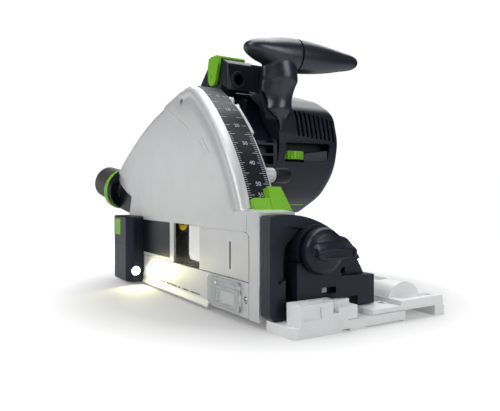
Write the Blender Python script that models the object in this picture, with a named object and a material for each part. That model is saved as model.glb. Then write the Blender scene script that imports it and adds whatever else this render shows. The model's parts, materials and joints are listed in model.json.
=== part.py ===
"""Track plunge saw, raised to its rest position, as an assembly of separate solids.

Saw coordinates, used by every number below, are millimetres: X forward from the plunge
pivot, Y from the blade plane towards the motor, Z up from the underside of the base.
An empty called saw_frame moves them so that the origin lies in the middle of the base.
"""

import math

import bmesh
import bpy
from mathutils import Matrix, Vector

MM = 0.001
GAP = 0.3
ORIGIN = (113.0, 72.0, 0.0)

# Driving dimensions
PIVOT = (0.0, 10.0)
BLADE_CENTRE = (89.7, 81.0)
BLADE_RADIUS = 80.0
BLADE_BODY = 1.6
BLADE_TEETH = 48
SCALE_RADIUS = 234.8
COVER_RADIUS = 236.0
BASE_X = (-60.0, 286.0)
BASE_Y = (24.5, 155.0)
BASE_TOP = 8.0
RAIL_GROOVE = (105.0, 142.0, 9.0)
TUNNEL_Y = 120.0
TUNNEL_RADIUS = 20.5
SEGMENT_RADIUS = 90.0
KNOB = (28.0, 61.0)
BEVEL_SLOT_RADIUS = math.hypot(*KNOB)
PANEL_Y = (-14.0, -11.6)
WALL_Y = (20.0, 23.0)
GUARD_FRONT = 247.0
GUARD_BOTTOM = 5.0
SEAM_Z = 34.4
GEAR_Y = (28.0, 64.5)
GEAR_PLANE = (44.0, 52.0)
IDLER_CENTRE = (91.0, 115.98)
MOTOR_CENTRE = (93.0, 136.88)
SPINDLE_TEETH, IDLER_TEETH, PINION_TEETH = 38, 32, 10
MOTOR_Y = (66.5, 140.0)
HANDLE_Y = (31.0, 46.35, 46.65, 62.0)
GRIP_AXIS = (160.0, 243.0)
PORT_START, PORT_END = (-99.6, -1.0, 111.0), (-142.0, -14.0, 122.0)
JAWS = (205.0, -15.0)
TOP_SCREW = (102.0, 198.0)
FRONT_SCREW = (226.6, 19.5)
KNIFE_POST = (1.8, 58.0)
DIAL = (148.0, 87.5)
BUFFER = (196.0, 122.0)
BUFFER_RADIUS = 7.4
BATTERY_Y = (70.0, 142.0)

COLOURS = {
    "silver": ((0.62, 0.63, 0.64), 0.38, 0.9),
    "base_alloy": ((0.72, 0.73, 0.74), 0.42, 0.8),
    "anthracite": ((0.045, 0.05, 0.065), 0.5, 0.0),
    "black": ((0.012, 0.012, 0.014), 0.55, 0.0),
    "rubber": ((0.02, 0.02, 0.02), 0.8, 0.0),
    "green": ((0.24, 0.57, 0.03), 0.4, 0.0),
    "steel": ((0.55, 0.55, 0.56), 0.3, 1.0),
    "copper": ((0.7, 0.32, 0.15), 0.4, 1.0),
    "board": ((0.05, 0.25, 0.12), 0.6, 0.0),
    "clear": ((0.9, 0.92, 0.93), 0.1, 0.0),
    "brass": ((0.75, 0.55, 0.15), 0.35, 1.0),
    "lamp": ((1.0, 0.98, 0.85), 0.2, 0.0),
    "grey_plastic": ((0.09, 0.085, 0.08), 0.6, 0.0),
}

for old in list(bpy.data.objects):
    bpy.data.objects.remove(old)


# ---------------------------------------------------------------- frames and materials
def empty(name, place, parent=None):
    """An empty at a point of the saw, which is one body's frame."""
    obj = bpy.data.objects.new(name, None)
    bpy.context.collection.objects.link(obj)
    obj.parent = parent
    start = Vector(parent["place"]) if parent else Vector(ORIGIN)
    obj["place"] = place
    obj.location = (Vector(place) - start) * MM
    return obj


SAW = empty("saw_frame", (0.0, 0.0, 0.0))
BASE = empty("base_unit", (0.0, 0.0, 0.0), SAW)
TILT = empty("bevel_axis", (0.0, 0.0, 0.0), SAW)
MOTOR = empty("plunge_axis", (PIVOT[0], 0.0, PIVOT[1]), TILT)
SPINDLE = empty("spindle_axis", (BLADE_CENTRE[0], 0.0, BLADE_CENTRE[1]), MOTOR)
IDLER = empty("idler_axis", (IDLER_CENTRE[0], 0.0, IDLER_CENTRE[1]), MOTOR)
ARMATURE = empty("armature_axis", (MOTOR_CENTRE[0], 0.0, MOTOR_CENTRE[1]), MOTOR)


def material(name):
    """The Principled material of one colour, made once."""
    found = bpy.data.materials.get(name)
    if found:
        return found
    colour, roughness, metallic = COLOURS[name]
    made = bpy.data.materials.new(name)
    made.use_nodes = True
    shader = made.node_tree.nodes["Principled BSDF"]
    shader.inputs["Base Color"].default_value = (*colour, 1.0)
    shader.inputs["Roughness"].default_value = roughness
    shader.inputs["Metallic"].default_value = metallic
    return made


# ---------------------------------------------------------------- outlines
def arc(centre, radius, start, end, steps):
    """Points along an arc, with angles in degrees."""
    points = []
    for i in range(steps + 1):
        angle = math.radians(start + (end - start) * i / steps)
        points.append((centre[0] + radius * math.cos(angle), centre[1] + radius * math.sin(angle)))
    return points


def circle(centre, radius, steps=24):
    return arc(centre, radius, 0, 360 * (steps - 1) / steps, steps - 1)


def band(centre, inner, outer, start, end, steps):
    """A curved strip between two radii."""
    return arc(centre, inner, start, end, steps) + arc(centre, outer, end, start, steps)


def rounded(corners, steps=4):
    """An outline whose corners (a, b, radius) are filleted."""
    points = []
    for i, (a, b, radius) in enumerate(corners):
        here = Vector((a, b))
        if not radius:
            points.append((a, b))
            continue
        to_last = (Vector(corners[i - 1][:2]) - here).normalized()
        to_next = (Vector(corners[(i + 1) % len(corners)][:2]) - here).normalized()
        half = to_last.angle(to_next) / 2
        reach = radius / math.tan(half)
        middle = here + (to_last + to_next).normalized() * (radius / math.sin(half))
        first = here + to_last * reach - middle
        last = here + to_next * reach - middle
        turn = math.atan2(first.x * last.y - first.y * last.x, first.dot(last))
        for k in range(steps + 1):
            angle = turn * k / steps
            cos, sin = math.cos(angle), math.sin(angle)
            turned = Vector((first.x * cos - first.y * sin, first.x * sin + first.y * cos))
            points.append(tuple(middle + turned))
    return points


def inset(points, distance):
    """The outline moved inwards; the points run anticlockwise."""
    area = sum(p[0] * q[1] - q[0] * p[1] for p, q in zip(points, points[1:] + points[:1]))
    side = 1 if area > 0 else -1
    moved = []
    for i, point in enumerate(points):
        here = Vector(point)
        before = (here - Vector(points[i - 1])).normalized()
        after = (Vector(points[(i + 1) % len(points)]) - here).normalized()
        normal = Vector((-before.y - after.y, before.x + after.x)).normalized() * side
        across = Vector((-before.y, before.x)) * side
        moved.append(tuple(here + normal * (distance / max(0.35, normal.dot(across)))))
    return moved


def hull(points):
    """The convex outline round some points."""
    ordered = sorted(set(points))
    halves = []
    for run in (ordered, ordered[::-1]):
        chain = []
        for p in run:
            while len(chain) > 1:
                a, b = chain[-2], chain[-1]
                if (b[0] - a[0]) * (p[1] - a[1]) - (b[1] - a[1]) * (p[0] - a[0]) > 1e-9:
                    break
                chain.pop()
            chain.append(p)
        halves += chain[:-1]
    return halves


def gear_outline(centre, teeth, phase):
    """A spur gear of module 1 with straight-sided teeth and backlash."""
    points = []
    root, tip = teeth / 2 - 1.2, teeth / 2 + 0.7
    step = 2 * math.pi / teeth
    for i in range(teeth):
        middle = math.radians(phase) + i * step
        for radius, width in ((root, -0.30), (tip, -0.11), (tip, 0.11), (root, 0.30)):
            angle = middle + width * step
            points.append((centre[0] + radius * math.cos(angle), centre[1] + radius * math.sin(angle)))
    return points


MOTOR_OUTLINE = rounded(
    [(148, 193, 5), (156.5, 162, 12), (152, 133, 10), (127, 104, 14), (92, 83, 10), (54, 90, 14),
     (34, 116, 16), (34, 196, 14), (62, 217.5, 8), (84, 216.5, 8)], 3)
HANDLE_OUTER = rounded(
    [(59, 205.4, 0), (118, 205.4, 0), (118, 238, 4), (110, 244.5, 5), (88, 246, 4), (62, 225, 8),
     (20, 215, 20), (-56, 199, 24), (-104, 178, 26), (-112, 134, 20), (-88, 93, 14), (-50, 91, 16),
     (2, 103, 14), (59, 120, 0)], 4)
HANDLE_INNER = rounded(
    [(45, 188, 6), (20, 186, 10), (-50, 170, 14), (-82, 154, 12), (-84, 130, 10), (-62, 112, 10),
     (0, 126, 10), (45, 140, 8)], 4)


# ---------------------------------------------------------------- shapes, as bmeshes
PLACE = {
    "x": lambda a, b, t: (t, a, b),
    "y": lambda a, b, t: (a, t, b),
    "z": lambda a, b, t: (a, b, t),
}


def prism(axis, outline, low, high):
    """An outline extruded along an axis. It is given in the other two axes, in order."""
    mesh = bmesh.new()
    rings = [[mesh.verts.new(PLACE[axis](a, b, t)) for a, b in outline] for t in (low, high)]
    mesh.faces.new(rings[0])
    mesh.faces.new(rings[1])
    for i, start in enumerate(rings[0]):
        j = (i + 1) % len(outline)
        mesh.faces.new((start, rings[0][j], rings[1][j], rings[1][i]))
    bmesh.ops.recalc_face_normals(mesh, faces=mesh.faces)
    return mesh


def box(x, y, z):
    return prism("z", [(x[0], y[0]), (x[1], y[0]), (x[1], y[1]), (x[0], y[1])], z[0], z[1])


def lathe(start, direction, profile, sides=24, hollow=False):
    """A profile of (distance, radius) turned round a direction. A hollow profile is a closed loop."""
    turn = Vector((0, 0, 1)).rotation_difference(Vector(direction).normalized()).to_matrix()
    mesh = bmesh.new()
    rings = []
    for distance, radius in profile:
        count = sides if radius > 0 else 1
        ring = []
        for i in range(count):
            angle = 2 * math.pi * i / count
            local = Vector((radius * math.cos(angle), radius * math.sin(angle), distance))
            ring.append(mesh.verts.new(Vector(start) + turn @ local))
        rings.append(ring)
    pairs = list(zip(rings, rings[1:]))
    if hollow:
        pairs.append((rings[-1], rings[0]))
    for low, high in pairs:
        for i in range(sides):
            j = (i + 1) % sides
            if len(low) == 1:
                mesh.faces.new((low[0], high[i], high[j]))
            elif len(high) == 1:
                mesh.faces.new((low[i], low[j], high[0]))
            else:
                mesh.faces.new((low[i], low[j], high[j], high[i]))
    if not hollow:
        for ring in (rings[0], rings[-1]):
            if len(ring) > 1:
                mesh.faces.new(ring)
    bmesh.ops.recalc_face_normals(mesh, faces=mesh.faces)
    return mesh


AXES = {"x": (1, 0, 0), "y": (0, 1, 0), "z": (0, 0, 1)}


def cylinder(axis, centre, radius, low, high, sides=24):
    """A cylinder along X, Y or Z. The centre is given in the other two axes, in order."""
    return lathe(PLACE[axis](*centre, low), AXES[axis], [(0, radius), (high - low, radius)], sides)


def ring(axis, centre, inner, outer, low, high, sides=24):
    length = high - low
    profile = [(0, inner), (0, outer), (length, outer), (length, inner)]
    return lathe(PLACE[axis](*centre, low), AXES[axis], profile, sides, hollow=True)


# ---------------------------------------------------------------- objects
def link(name, mesh, body, pivot):
    """An object of this mesh, with its origin at the pivot, riding on a body's empty."""
    place = Vector(pivot if pivot else body["place"])
    bmesh.ops.translate(mesh, vec=-place, verts=mesh.verts)
    bmesh.ops.scale(mesh, vec=(MM, MM, MM), verts=mesh.verts)
    data = bpy.data.meshes.new(name)
    mesh.to_mesh(data)
    mesh.free()
    obj = bpy.data.objects.new(name, data)
    bpy.context.collection.objects.link(obj)
    obj.parent = body
    obj.location = (place - Vector(body["place"])) * MM
    return obj


def solid(name, body, colour, shape, add=(), cut=(), pivot=None):
    """A named sub-part: a shape with others joined to it, and then others cut from it."""
    obj = link(name, shape, body, pivot)
    obj.data.materials.append(material(colour))
    for kind, shapes in (("UNION", add), ("DIFFERENCE", cut)):
        for i, tool_shape in enumerate(shapes):
            tool = link(f"{kind.lower()}_{name}_{i}", tool_shape, body, pivot)
            tool.hide_render = True
            tool.display_type = "WIRE"
            boolean = obj.modifiers.new(tool.name, "BOOLEAN")
            boolean.operation = kind
            boolean.object = tool
    obj.data.shade_smooth()
    obj.data.set_sharp_from_angle(angle=math.radians(35))
    return obj


def screw(name, body, centre, direction, head, length):
    """A pan-head screw: a head with a hexagon socket, then a plain shank."""
    along = Vector(direction).normalized()
    shank = head * 0.42
    profile = [(0, shank), (length, shank), (length, head), (length + 2.2, head * 0.8)]
    shape = lathe(centre, direction, profile, 16)
    socket = lathe(Vector(centre) + along * (length + 0.8), direction, [(0, head * 0.4), (3, head * 0.4)], 6)
    solid(name, body, "steel", shape, cut=[socket])


# ---------------------------------------------------------------- base unit
def base_plate():
    """The sole, with its motor opening, rail groove, front foot, upstand and jaw tunnels."""
    groove_low, groove_high, groove_top = RAIL_GROOVE
    tunnel_top = 17.0
    low = TUNNEL_Y - TUNNEL_RADIUS
    groove = [(groove_low, -5), (groove_high, -5), (groove_high, groove_top - 1)]
    groove += [(groove_high - 1, groove_top), (groove_low + 1, groove_top), (groove_low, groove_top - 1)]
    half_round = arc((TUNNEL_Y, BASE_TOP), TUNNEL_RADIUS, 16, 164, 12) + [(low + 0.8, 12), (139.7, 12)]
    add = [
        box((249, BASE_X[1]), (-10, 30), (0, BASE_TOP)),
        box(BASE_X, (100, 152), (2, tunnel_top)),
        box((269.3, BASE_X[1]), (-4, 34), (2, 24)),
        box((269.3, BASE_X[1]), (33, 69), (2, 19.4)),
        box((262, BASE_X[1]), (69, 101), (2, 13)),
        prism("x", half_round, 168, 270),
        prism("x", half_round, -54, 34),
    ]
    cut = [
        box((-14, 172), (20, 66), (-5, 30)),
        prism("x", groove, BASE_X[0] - 5, BASE_X[1] + 5),
        box((205, 262), (141, 149), (11, 25)),
        box((-40, 150), (141, 149), (11, 25)),
        box((44, 150), (110, 136), (11.5, 25)),
        box((272.5, BASE_X[1] - 6), (108, 146), (13, 25)),
        box((180, 236), (40, 62), (5, 12)),
        box((180, 236), (72, 96), (5, 12)),
        cylinder("z", (268, 95), 3.2, 6, 20, 12),
    ]
    for x in JAWS:
        recess = rounded([(x - 15, 111, 8), (x + 15, 111, 8), (x + 15, 129, 8), (x - 15, 129, 8)])
        cut.append(prism("z", recess, 12, 40))
        cut.append(cylinder("z", (x, TUNNEL_Y), 5.6, 5, 20, 16))
    shape = box(BASE_X, BASE_Y, (0, BASE_TOP))
    solid("base_plate", BASE, "base_alloy", shape, add, cut)


def rail_jaw(name, x):
    """A cam on a vertical pin that presses on the guide rail's rib, with a lever to turn it."""
    pin = cylinder("z", (x, TUNNEL_Y), 5.2, 3, 14, 16)
    add = [
        cylinder("z", (x, TUNNEL_Y), 7.6, 12.4, 21, 20),
        box((x - 1.5, x + 12), (TUNNEL_Y - 2.2, TUNNEL_Y + 2.2), (15, 23)),
        cylinder("z", (x, TUNNEL_Y + 1.2), 5.2, 3.0, 6.6, 16),
    ]
    solid(name, BASE, "green", pin, add, pivot=(x, TUNNEL_Y, 12.0))


def bevel_segment(name, back, face, outward):
    """A quarter-round bracket that carries the bevel clamp. It stands outward of its back plane."""
    knob_y, knob_z = KNOB
    round_edge = arc((0, 0), SEGMENT_RADIUS, 26.4, 98.9, 12)
    if outward > 0:
        outline = [(-10, 8.6), (5, 8.6), (18, 11), (18, 21.3), (69.3, 21.3), (69.3, 14), (87.4, 14)]
        outline += [(87.4, 40), (80.6, 40)] + round_edge + [(-14, 13)]
        plate = [(7, 22), (69, 22), (69, 15), (87.1, 15), (87.1, 39.5), (54, 39.5), (54, 48), (7, 48)]
    else:
        outline = [(25, 8.6), (94, 8.6), (94, 40), (80.6, 40)]
        outline += arc((0, 0), SEGMENT_RADIUS, 26.4, 73.5, 10) + [(25, 86)]
        plate = [(26, 22), (69, 22), (69, 15), (93.5, 15), (93.5, 39.5), (78, 39.5), (73, 48), (26, 48)]

    def depth(start, end):
        return sorted((back + outward * start, back + outward * end))

    arch = band((0, 0), 57, 78, 62, 84, 6) if outward > 0 else band((0, 0), 60, 78, 66, 70, 2)
    cut = [
        prism("x", arch, *depth(face - 7, face + 20)),
        box(depth(-3, face + 20), (31.5, 45.5), (26.5, 31)),
        cylinder("x", KNOB, 4.6, back - 40, back + 40, 16),
    ]
    if outward > 0:
        mouth = [(0.6, 22.4), (6.6, 22.4), (6.6, 48.4), (8.6, 54), (8.6, 66), (13, 76), (8, 77), (0.6, 66)]
        cut.append(prism("x", mouth, *depth(face - 9, face + 20)))
        cut.append(cylinder("y", (back + 8.7, 26), 1.8, 80, 100, 12))
    pad_centre, pad_radius = (knob_y + 1, knob_z), 19.5
    half_pad = arc(pad_centre, pad_radius, -90, 90, 10)
    half_pad += [(24.6, knob_z + pad_radius), (24.6, knob_z - pad_radius)]
    add = [prism("x", plate, *depth(2, face + 6))]
    if outward > 0:
        add.append(cylinder("x", pad_centre, pad_radius, *depth(2, face + 6), 28))
    else:
        add.append(prism("x", half_pad, *depth(2, face + 6)))
    solid(name, BASE, "anthracite", prism("x", outline, *depth(0, face)), add, cut)


def lock_knob(name, start, outward):
    """A round clamp knob with a wing across it, and a blind bore for its stud."""
    y, z = KNOB
    low, high = sorted((start, start + outward * 9))
    far_low, far_high = sorted((start + outward * 8, start + outward * 17))
    wing = rounded([(y - 13, z - 6, 3), (y + 24, z - 6, 3), (y + 24, z + 5, 3), (y - 13, z + 9, 3)], 3)
    bore = sorted((start - outward * 5, start + outward * 9))
    shape = cylinder("x", KNOB, 18, low, high, 28)
    add = [prism("x", wing, far_low, far_high)]
    solid(name, BASE, "anthracite", shape, add, [cylinder("x", KNOB, 4.4, *bore, 16)], (start, y, z))


def knob_bolt(name, start, end, head_at):
    """A stud through the bevel slot, with a flat head behind the flange."""
    y, z = KNOB
    low, high = sorted((start, end))
    outline = [(y + 7, z - 6.5), (y + 7, z + 6.5), (y - 2.8, z + 6.5), (y - 2.8, z - 6.5)]
    head = prism("x", outline, *sorted((head_at, start)))
    solid(name, BASE, "steel", cylinder("x", KNOB, 3.9, low, high, 16), [head])


# ---------------------------------------------------------------- bevel unit
def guard_outline():
    """The side view of the cover: base edge, front pillar, round rim, crown and sloping back."""
    rim = arc(PIVOT, COVER_RADIUS, 20.7, 55.5, 12)
    crown = [(126, 208.2), (116, 209.8), (106, 209), (61.5, 199.5), (58, 196.5), (6, 182), (-47, 160)]
    back = [(-84, 141.5), (-97.5, 133), (-99, 124), (-83.5, 114), (-66, 106.5), (-48, 101), (-56.8, 79)]
    return [(GUARD_FRONT, GUARD_BOTTOM), (GUARD_FRONT, 91)] + rim + crown + back + [(-56.8, GUARD_BOTTOM)]


def guard_housing():
    """The inner casting: a band that follows the outline, and the wall on the motor's side."""
    outline = inset(guard_outline(), 3.2)
    inner = inset(guard_outline(), 7.0)
    inner[0] = (inner[0][0], -10)
    inner[-1] = (inner[-1][0], -10)
    boss = [(219, -10), (219, 27), (inner[0][0], 27)]
    port = Vector(PORT_END) - Vector(PORT_START)
    cut = [
        prism("y", boss + inner[1:], -15, -5),
        prism("y", inner, -5.1, WALL_Y[0]),
        cylinder("y", FRONT_SCREW, 2.4, -20, -6, 12),
        prism("y", band(PIVOT, 100, 128, -4, 47, 10), 10, 30),
        prism("y", band(PIVOT, 36, 59, 46, 99, 8), 10, 30),
        cylinder("y", PIVOT, 4.8, 10, 30, 16),
        lathe(Vector(PORT_START) - port * 0.9, port, [(0, 9.5), (100, 9.5)], 16),
    ]
    add = [cylinder("y", (PIVOT[0], PIVOT[1] + 2), 9.5, WALL_Y[0] - 4, WALL_Y[1], 16)]
    shape = prism("y", outline, PANEL_Y[1] + GAP, WALL_Y[1])
    solid("guard_housing", TILT, "silver", shape, cut=cut, add=add)


def guard_cover():
    """The outer cover: a plate with a lip along the round rim, the window and the skirt cut out."""
    lip = band(PIVOT, SCALE_RADIUS + GAP, COVER_RADIUS, 20.9, 55, 12)
    window = rounded([(83.5, 35, 0), (144, 35, 0), (144, 75.5, 1.5), (83.5, 75.5, 1.5)], 2)
    cut = [
        prism("y", window, -20, 0),
        box((-70, 232), (-20, -10), (-5, SEAM_Z)),
        box((200.6, 202.6), (-20, -5), (42, 64.5)),
        cylinder("y", TOP_SCREW, 2.6, -20, 0, 12),
    ]
    shape = prism("y", guard_outline(), *PANEL_Y)
    solid("guard_cover", TILT, "silver", shape, [prism("y", lip, PANEL_Y[0], -5.3)], cut)


def skirt_panel():
    """The separate strip along the bottom, with its lower lip."""
    outline = [(-2.5, GUARD_BOTTOM), (231.6, GUARD_BOTTOM), (231.6, SEAM_Z - GAP), (-2.5, SEAM_Z - GAP)]
    add = [box((60, 170), (PANEL_Y[0] + 0.8, PANEL_Y[1]), (2.5, 8))]
    hole = cylinder("y", FRONT_SCREW, 2.4, -20, 0, 12)
    solid("skirt_panel", TILT, "silver", prism("y", outline, *PANEL_Y), add, [hole])


def inner_cover_plate():
    outline = rounded([(115, 41, 6), (166, 41, 0), (166, 84, 0), (115, 84, 0)], 4)
    solid("inner_cover_plate", TILT, "silver", prism("y", outline, -11.2, -10.2))


def splinter_guard():
    """A clear frame over the skirt that slides down to the work."""
    frame = rounded([(165, 8, 3), (221, 8, 3), (221, 33, 3), (165, 33, 3)], 3)
    cut = [
        prism("y", rounded([(178, 26, 1), (216, 26, 1), (216, 29.5, 1), (178, 29.5, 1)], 2), -20, -10),
        prism("y", rounded([(181, 11, 2), (213, 11, 2), (213, 23, 2), (181, 23, 2)], 2), -20, -10),
    ]
    shape = prism("y", frame, -16.8, PANEL_Y[0] - GAP)
    solid("splinter_guard", TILT, "clear", shape, cut=cut, pivot=(193.5, -14.3, 20))


def depth_scale():
    strip = band(PIVOT, SCALE_RADIUS - 1.7, SCALE_RADIUS, 20.9, 58.6, 14)
    solid("depth_scale", TILT, "black", prism("y", strip, -5.0, 20.0))


def depth_stop():
    """An L-shaped slider on the scale: a bar across it and an arm that meets the motor unit."""
    low, high = SCALE_RADIUS + GAP, SCALE_RADIUS + 7.5
    bar = prism("y", band(PIVOT, low, high, 20.6, 23.7, 2), -4.7, 14)
    arm = prism("y", band(PIVOT, low, high + 1.5, 20.6, 25.8, 3), 12, 36)
    solid("depth_stop", TILT, "green", bar, [arm], pivot=(PIVOT[0], 8.0, PIVOT[1]))


def stop_buffer():
    """A rubber sleeve on the side of the guard that ends the downward travel softly."""
    profile = [(0, 5), (8, 5), (8, BUFFER_RADIUS), (24, BUFFER_RADIUS), (26, 6)]
    start = (BUFFER[0], WALL_Y[1] + GAP, BUFFER[1])
    solid("stop_buffer", TILT, "rubber", lathe(start, (0, 1, 0), profile, 20))


def led_unit():
    """The lamp housing, its lens at the foot of the front face, and its coloured insert."""
    outline = rounded([(-56, -33, 2), (-3, -33, 6), (-3, -14.4, 0), (-56, -14.4, 0)], 3)
    cut = [
        cylinder("x", (-23.5, 15.5), 6.8, -9, 10, 20),
        box((-50, -30), (-40, -31), (56, 75.5)),
    ]
    solid("led_housing", TILT, "anthracite", prism("z", outline, 2, 79), cut=cut)
    lens = lathe((-8.6, -23.5, 15.5), (1, 0, 0), [(0, 6.4), (5.2, 6.4), (6.8, 4.5), (7.2, 0)], 20)
    solid("led_lens", TILT, "lamp", lens)
    solid("led_insert", TILT, "green", box((-49.7, -30.3), (-33.4, -31.3), (56.3, 75.2)))


def tilt_flange(name, x):
    """A plate fixed to the guard, with the curved slot that the clamp stud runs in."""
    outline = [(23.4, 12.5), (82, 12.5)] + arc((0, 0), 86, 11, 73.5, 10) + [(23.4, 82)]
    slot = band((0, 0), BEVEL_SLOT_RADIUS - 4.8, BEVEL_SLOT_RADIUS + 4.8, 13.5, 70.5, 12)
    solid(name, TILT, "silver", prism("x", outline, *x), cut=[prism("x", slot, x[0] - 5, x[1] + 5)])


def pivot_shaft():
    shape = lathe((PIVOT[0], 12.5, PIVOT[1]), (0, 1, 0), [(0, 7), (3.2, 7), (3.2, 4.5), (46, 4.5)], 16)
    solid("pivot_shaft", TILT, "steel", shape)


def return_spring():
    """A torsion spring round the plunge axle."""
    turns, per_turn, radius, start, pitch = 4, 10, 7.6, 38.5, 3.5
    data = bpy.data.curves.new("return_spring", "CURVE")
    data.dimensions = "3D"
    data.bevel_depth = 1.0 * MM
    data.bevel_resolution = 0
    data.use_fill_caps = True
    spline = data.splines.new("POLY")
    spline.points.add(turns * per_turn)
    for i, point in enumerate(spline.points):
        angle = 2 * math.pi * i / per_turn
        y = start + pitch * i / per_turn
        point.co = (radius * math.cos(angle) * MM, y * MM, radius * math.sin(angle) * MM, 1)
    data.materials.append(material("steel"))
    obj = bpy.data.objects.new("return_spring", data)
    bpy.context.collection.objects.link(obj)
    obj.parent = TILT
    obj.location = Vector((PIVOT[0], 0, PIVOT[1])) * MM


def dust_port():
    """The outlet collar behind the guard, its ring, and the nozzle that swivels on it."""
    axis = Vector(PORT_END) - Vector(PORT_START)
    length = axis.length
    axis.normalize()
    start = Vector(PORT_START)
    collar = lathe(start, axis, [(0, 15), (0, 26), (8, 26), (8, 15)], 28, hollow=True)
    chute = inset([(-99, 123), (-83.5, 113), (-66, 105.5), (-48.3, 100), (-57, 80), (-101, 86)], 0.4)
    around_guard = [prism("y", inset(guard_outline(), -0.5), -15, 24)]
    solid("dust_flange", TILT, "black", collar, [prism("y", chute, -11, 19)], around_guard)
    clip = lathe(start + axis * 8.4, axis, [(0, 17), (0, 25.2), (8, 25.2), (8, 17)], 28, hollow=True)
    solid("dust_collar", TILT, "green", clip)
    profile = [(8.4, 13.0), (8.4, 16.6), (16.8, 16.6), (16.8, 22), (20, 22.3)]
    profile += [(length, 21.0), (length, 17.5), (20, 17.5)]
    nozzle = lathe(start, axis, profile, 28, hollow=True)
    solid("dust_nozzle", TILT, "grey_plastic", nozzle, pivot=PORT_START)


# ---------------------------------------------------------------- motor unit
def landing(back):
    """The room that the buffer passes through as the motor unit plunges, up to where it lands."""
    reach = math.hypot(BUFFER[0] - PIVOT[0], BUFFER[1] - PIVOT[1])
    clear = BUFFER_RADIUS + 1
    return prism("y", band(PIVOT, reach - clear, reach + clear, 26, 63.2, 14), 20, back)


def gear_housing():
    """The gear case, its louvred front, the swing arm and its eye round the plunge axle."""
    low, high = GEAR_Y
    outline = rounded([(158, 183, 6), (158, 126, 6), (124, 100, 8), (112.5, 81, 0)], 3)
    outline += arc(BLADE_CENTRE, 23.7, -8, -172, 10)
    outline += rounded([(62, 100, 10), (60, 176, 10), (76, 204.8, 4), (128, 204.8, 8)], 3)
    chamber = circle(BLADE_CENTRE, 20.4, 20) + circle(IDLER_CENTRE, 18, 20) + circle(MOTOR_CENTRE, 11, 16)
    arm = hull(circle(PIVOT, 8.4, 16) + circle(BLADE_CENTRE, 22, 20))
    cut = [
        prism("y", hull(chamber), low - 5, 60),
        cylinder("y", MOTOR_CENTRE, 9.6, 50, 70, 16),
        cylinder("y", PIVOT, 4.8, 20, 40, 16),
    ]
    cut += [box((148, 170), (41, 60), (z, z + 8)) for z in (134.5, 145, 155.5)]
    cut.append(landing(51))
    shape = prism("y", outline, low, high)
    solid("gear_housing", MOTOR, "anthracite", shape, [prism("y", arm, low, 35)], cut)


def gear_cover():
    """The plate that closes the gear case towards the blade, with a post for the riving knife."""
    plate = hull(circle(BLADE_CENTRE, 22, 20) + circle(IDLER_CENTRE, 20, 20) + circle(MOTOR_CENTRE, 13, 16))
    post = cylinder("y", KNIFE_POST, 5.5, 4.0, 27.2, 12)
    bridge = hull(circle(KNIFE_POST, 6.5, 12) + circle((70, 76), 8, 12))
    hub = cylinder("y", BLADE_CENTRE, 11.2, 20, 30, 20)
    add = [prism("y", bridge, 24.3, 27.7), post]
    solid("gear_cover", MOTOR, "silver", prism("y", plate, 24.3, 27.7), add, [hub])


def riving_knife():
    """A thin curved plate behind the blade; it slides upwards against its spring."""
    outline = band(BLADE_CENTRE, 84, 97, 186, 234, 8)
    tab = box((-6, 6.5), (-0.9, 3.6), (52, 64))
    pivot = (KNIFE_POST[0], 0.0, KNIFE_POST[1])
    solid("riving_knife", MOTOR, "steel", prism("y", outline, -0.9, 0.9), [tab], pivot=pivot)


def motor_housing():
    """A tube with the shape of the motor unit's end, vent slots, and a band with the dial's opening."""
    low, high = MOTOR_Y
    cut = [
        prism("y", inset(MOTOR_OUTLINE, 3.5), low + 4, high + 5),
        cylinder("y", MOTOR_CENTRE, 13, low - 5, low + 10, 16),
    ]
    for i in range(9):
        y = 90.0 + 5.65 * i
        cut.append(box((135, 170), (y, y + 2.6), (163.0 - 0.4 * i, 190.5 - 0.9 * i)))
    cut.append(box((151.8, 170), (75.5, 129), (139.8, 156.5)))
    cut.append(cylinder("z", DIAL, 14.3, 139.8, 148.8, 24))
    solid("motor_housing", MOTOR, "anthracite", prism("y", MOTOR_OUTLINE, low, high), cut=cut)


def motor_end_cap():
    """The rounded end of the motor, in three steps, with the rear bearing's seat."""
    high = MOTOR_Y[1] + GAP
    seat = ring("y", MOTOR_CENTRE, 10.4, 14, high - 9, high + 1, 20)
    add = [prism("y", inset(MOTOR_OUTLINE, 1.2), high + 4.5, high + 7.5), seat]
    solid("motor_end_cap", MOTOR, "anthracite", prism("y", MOTOR_OUTLINE, high, high + 5), add)


def front_handle():
    """The T-shaped front handle: neck and rounded head, and the tapered grip beyond the seam."""
    x, z = GRIP_AXIS
    head = [(0, 0), (1, 6), (4, 10), (12, 14), (28, 16.4), (45, 17), (60, 16.8)]
    neck = lathe((147, 63, 186), (0.42, 0, 1), [(0, 21), (10, 20), (22, 17), (40, 18), (52, 16)], 24)
    cut = [prism("y", [(40, 100), (160, 100), (160, 183.4), (150, 205.2), (40, 205.2)], 20, 66)]
    cut += [prism("y", inset(MOTOR_OUTLINE, -0.4), 60, 120)]
    solid("front_handle_core", MOTOR, "anthracite", lathe((x, 24, z), (0, 1, 0), head, 24), [neck], cut)
    grip = [(0, 16.8), (20, 15.9), (40, 14), (58, 11.4), (72, 8), (80, 4.6), (82, 0)]
    solid("front_handle_grip", MOTOR, "anthracite", lathe((x, 84.3, z), (0, 1, 0), grip, 24))


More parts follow.
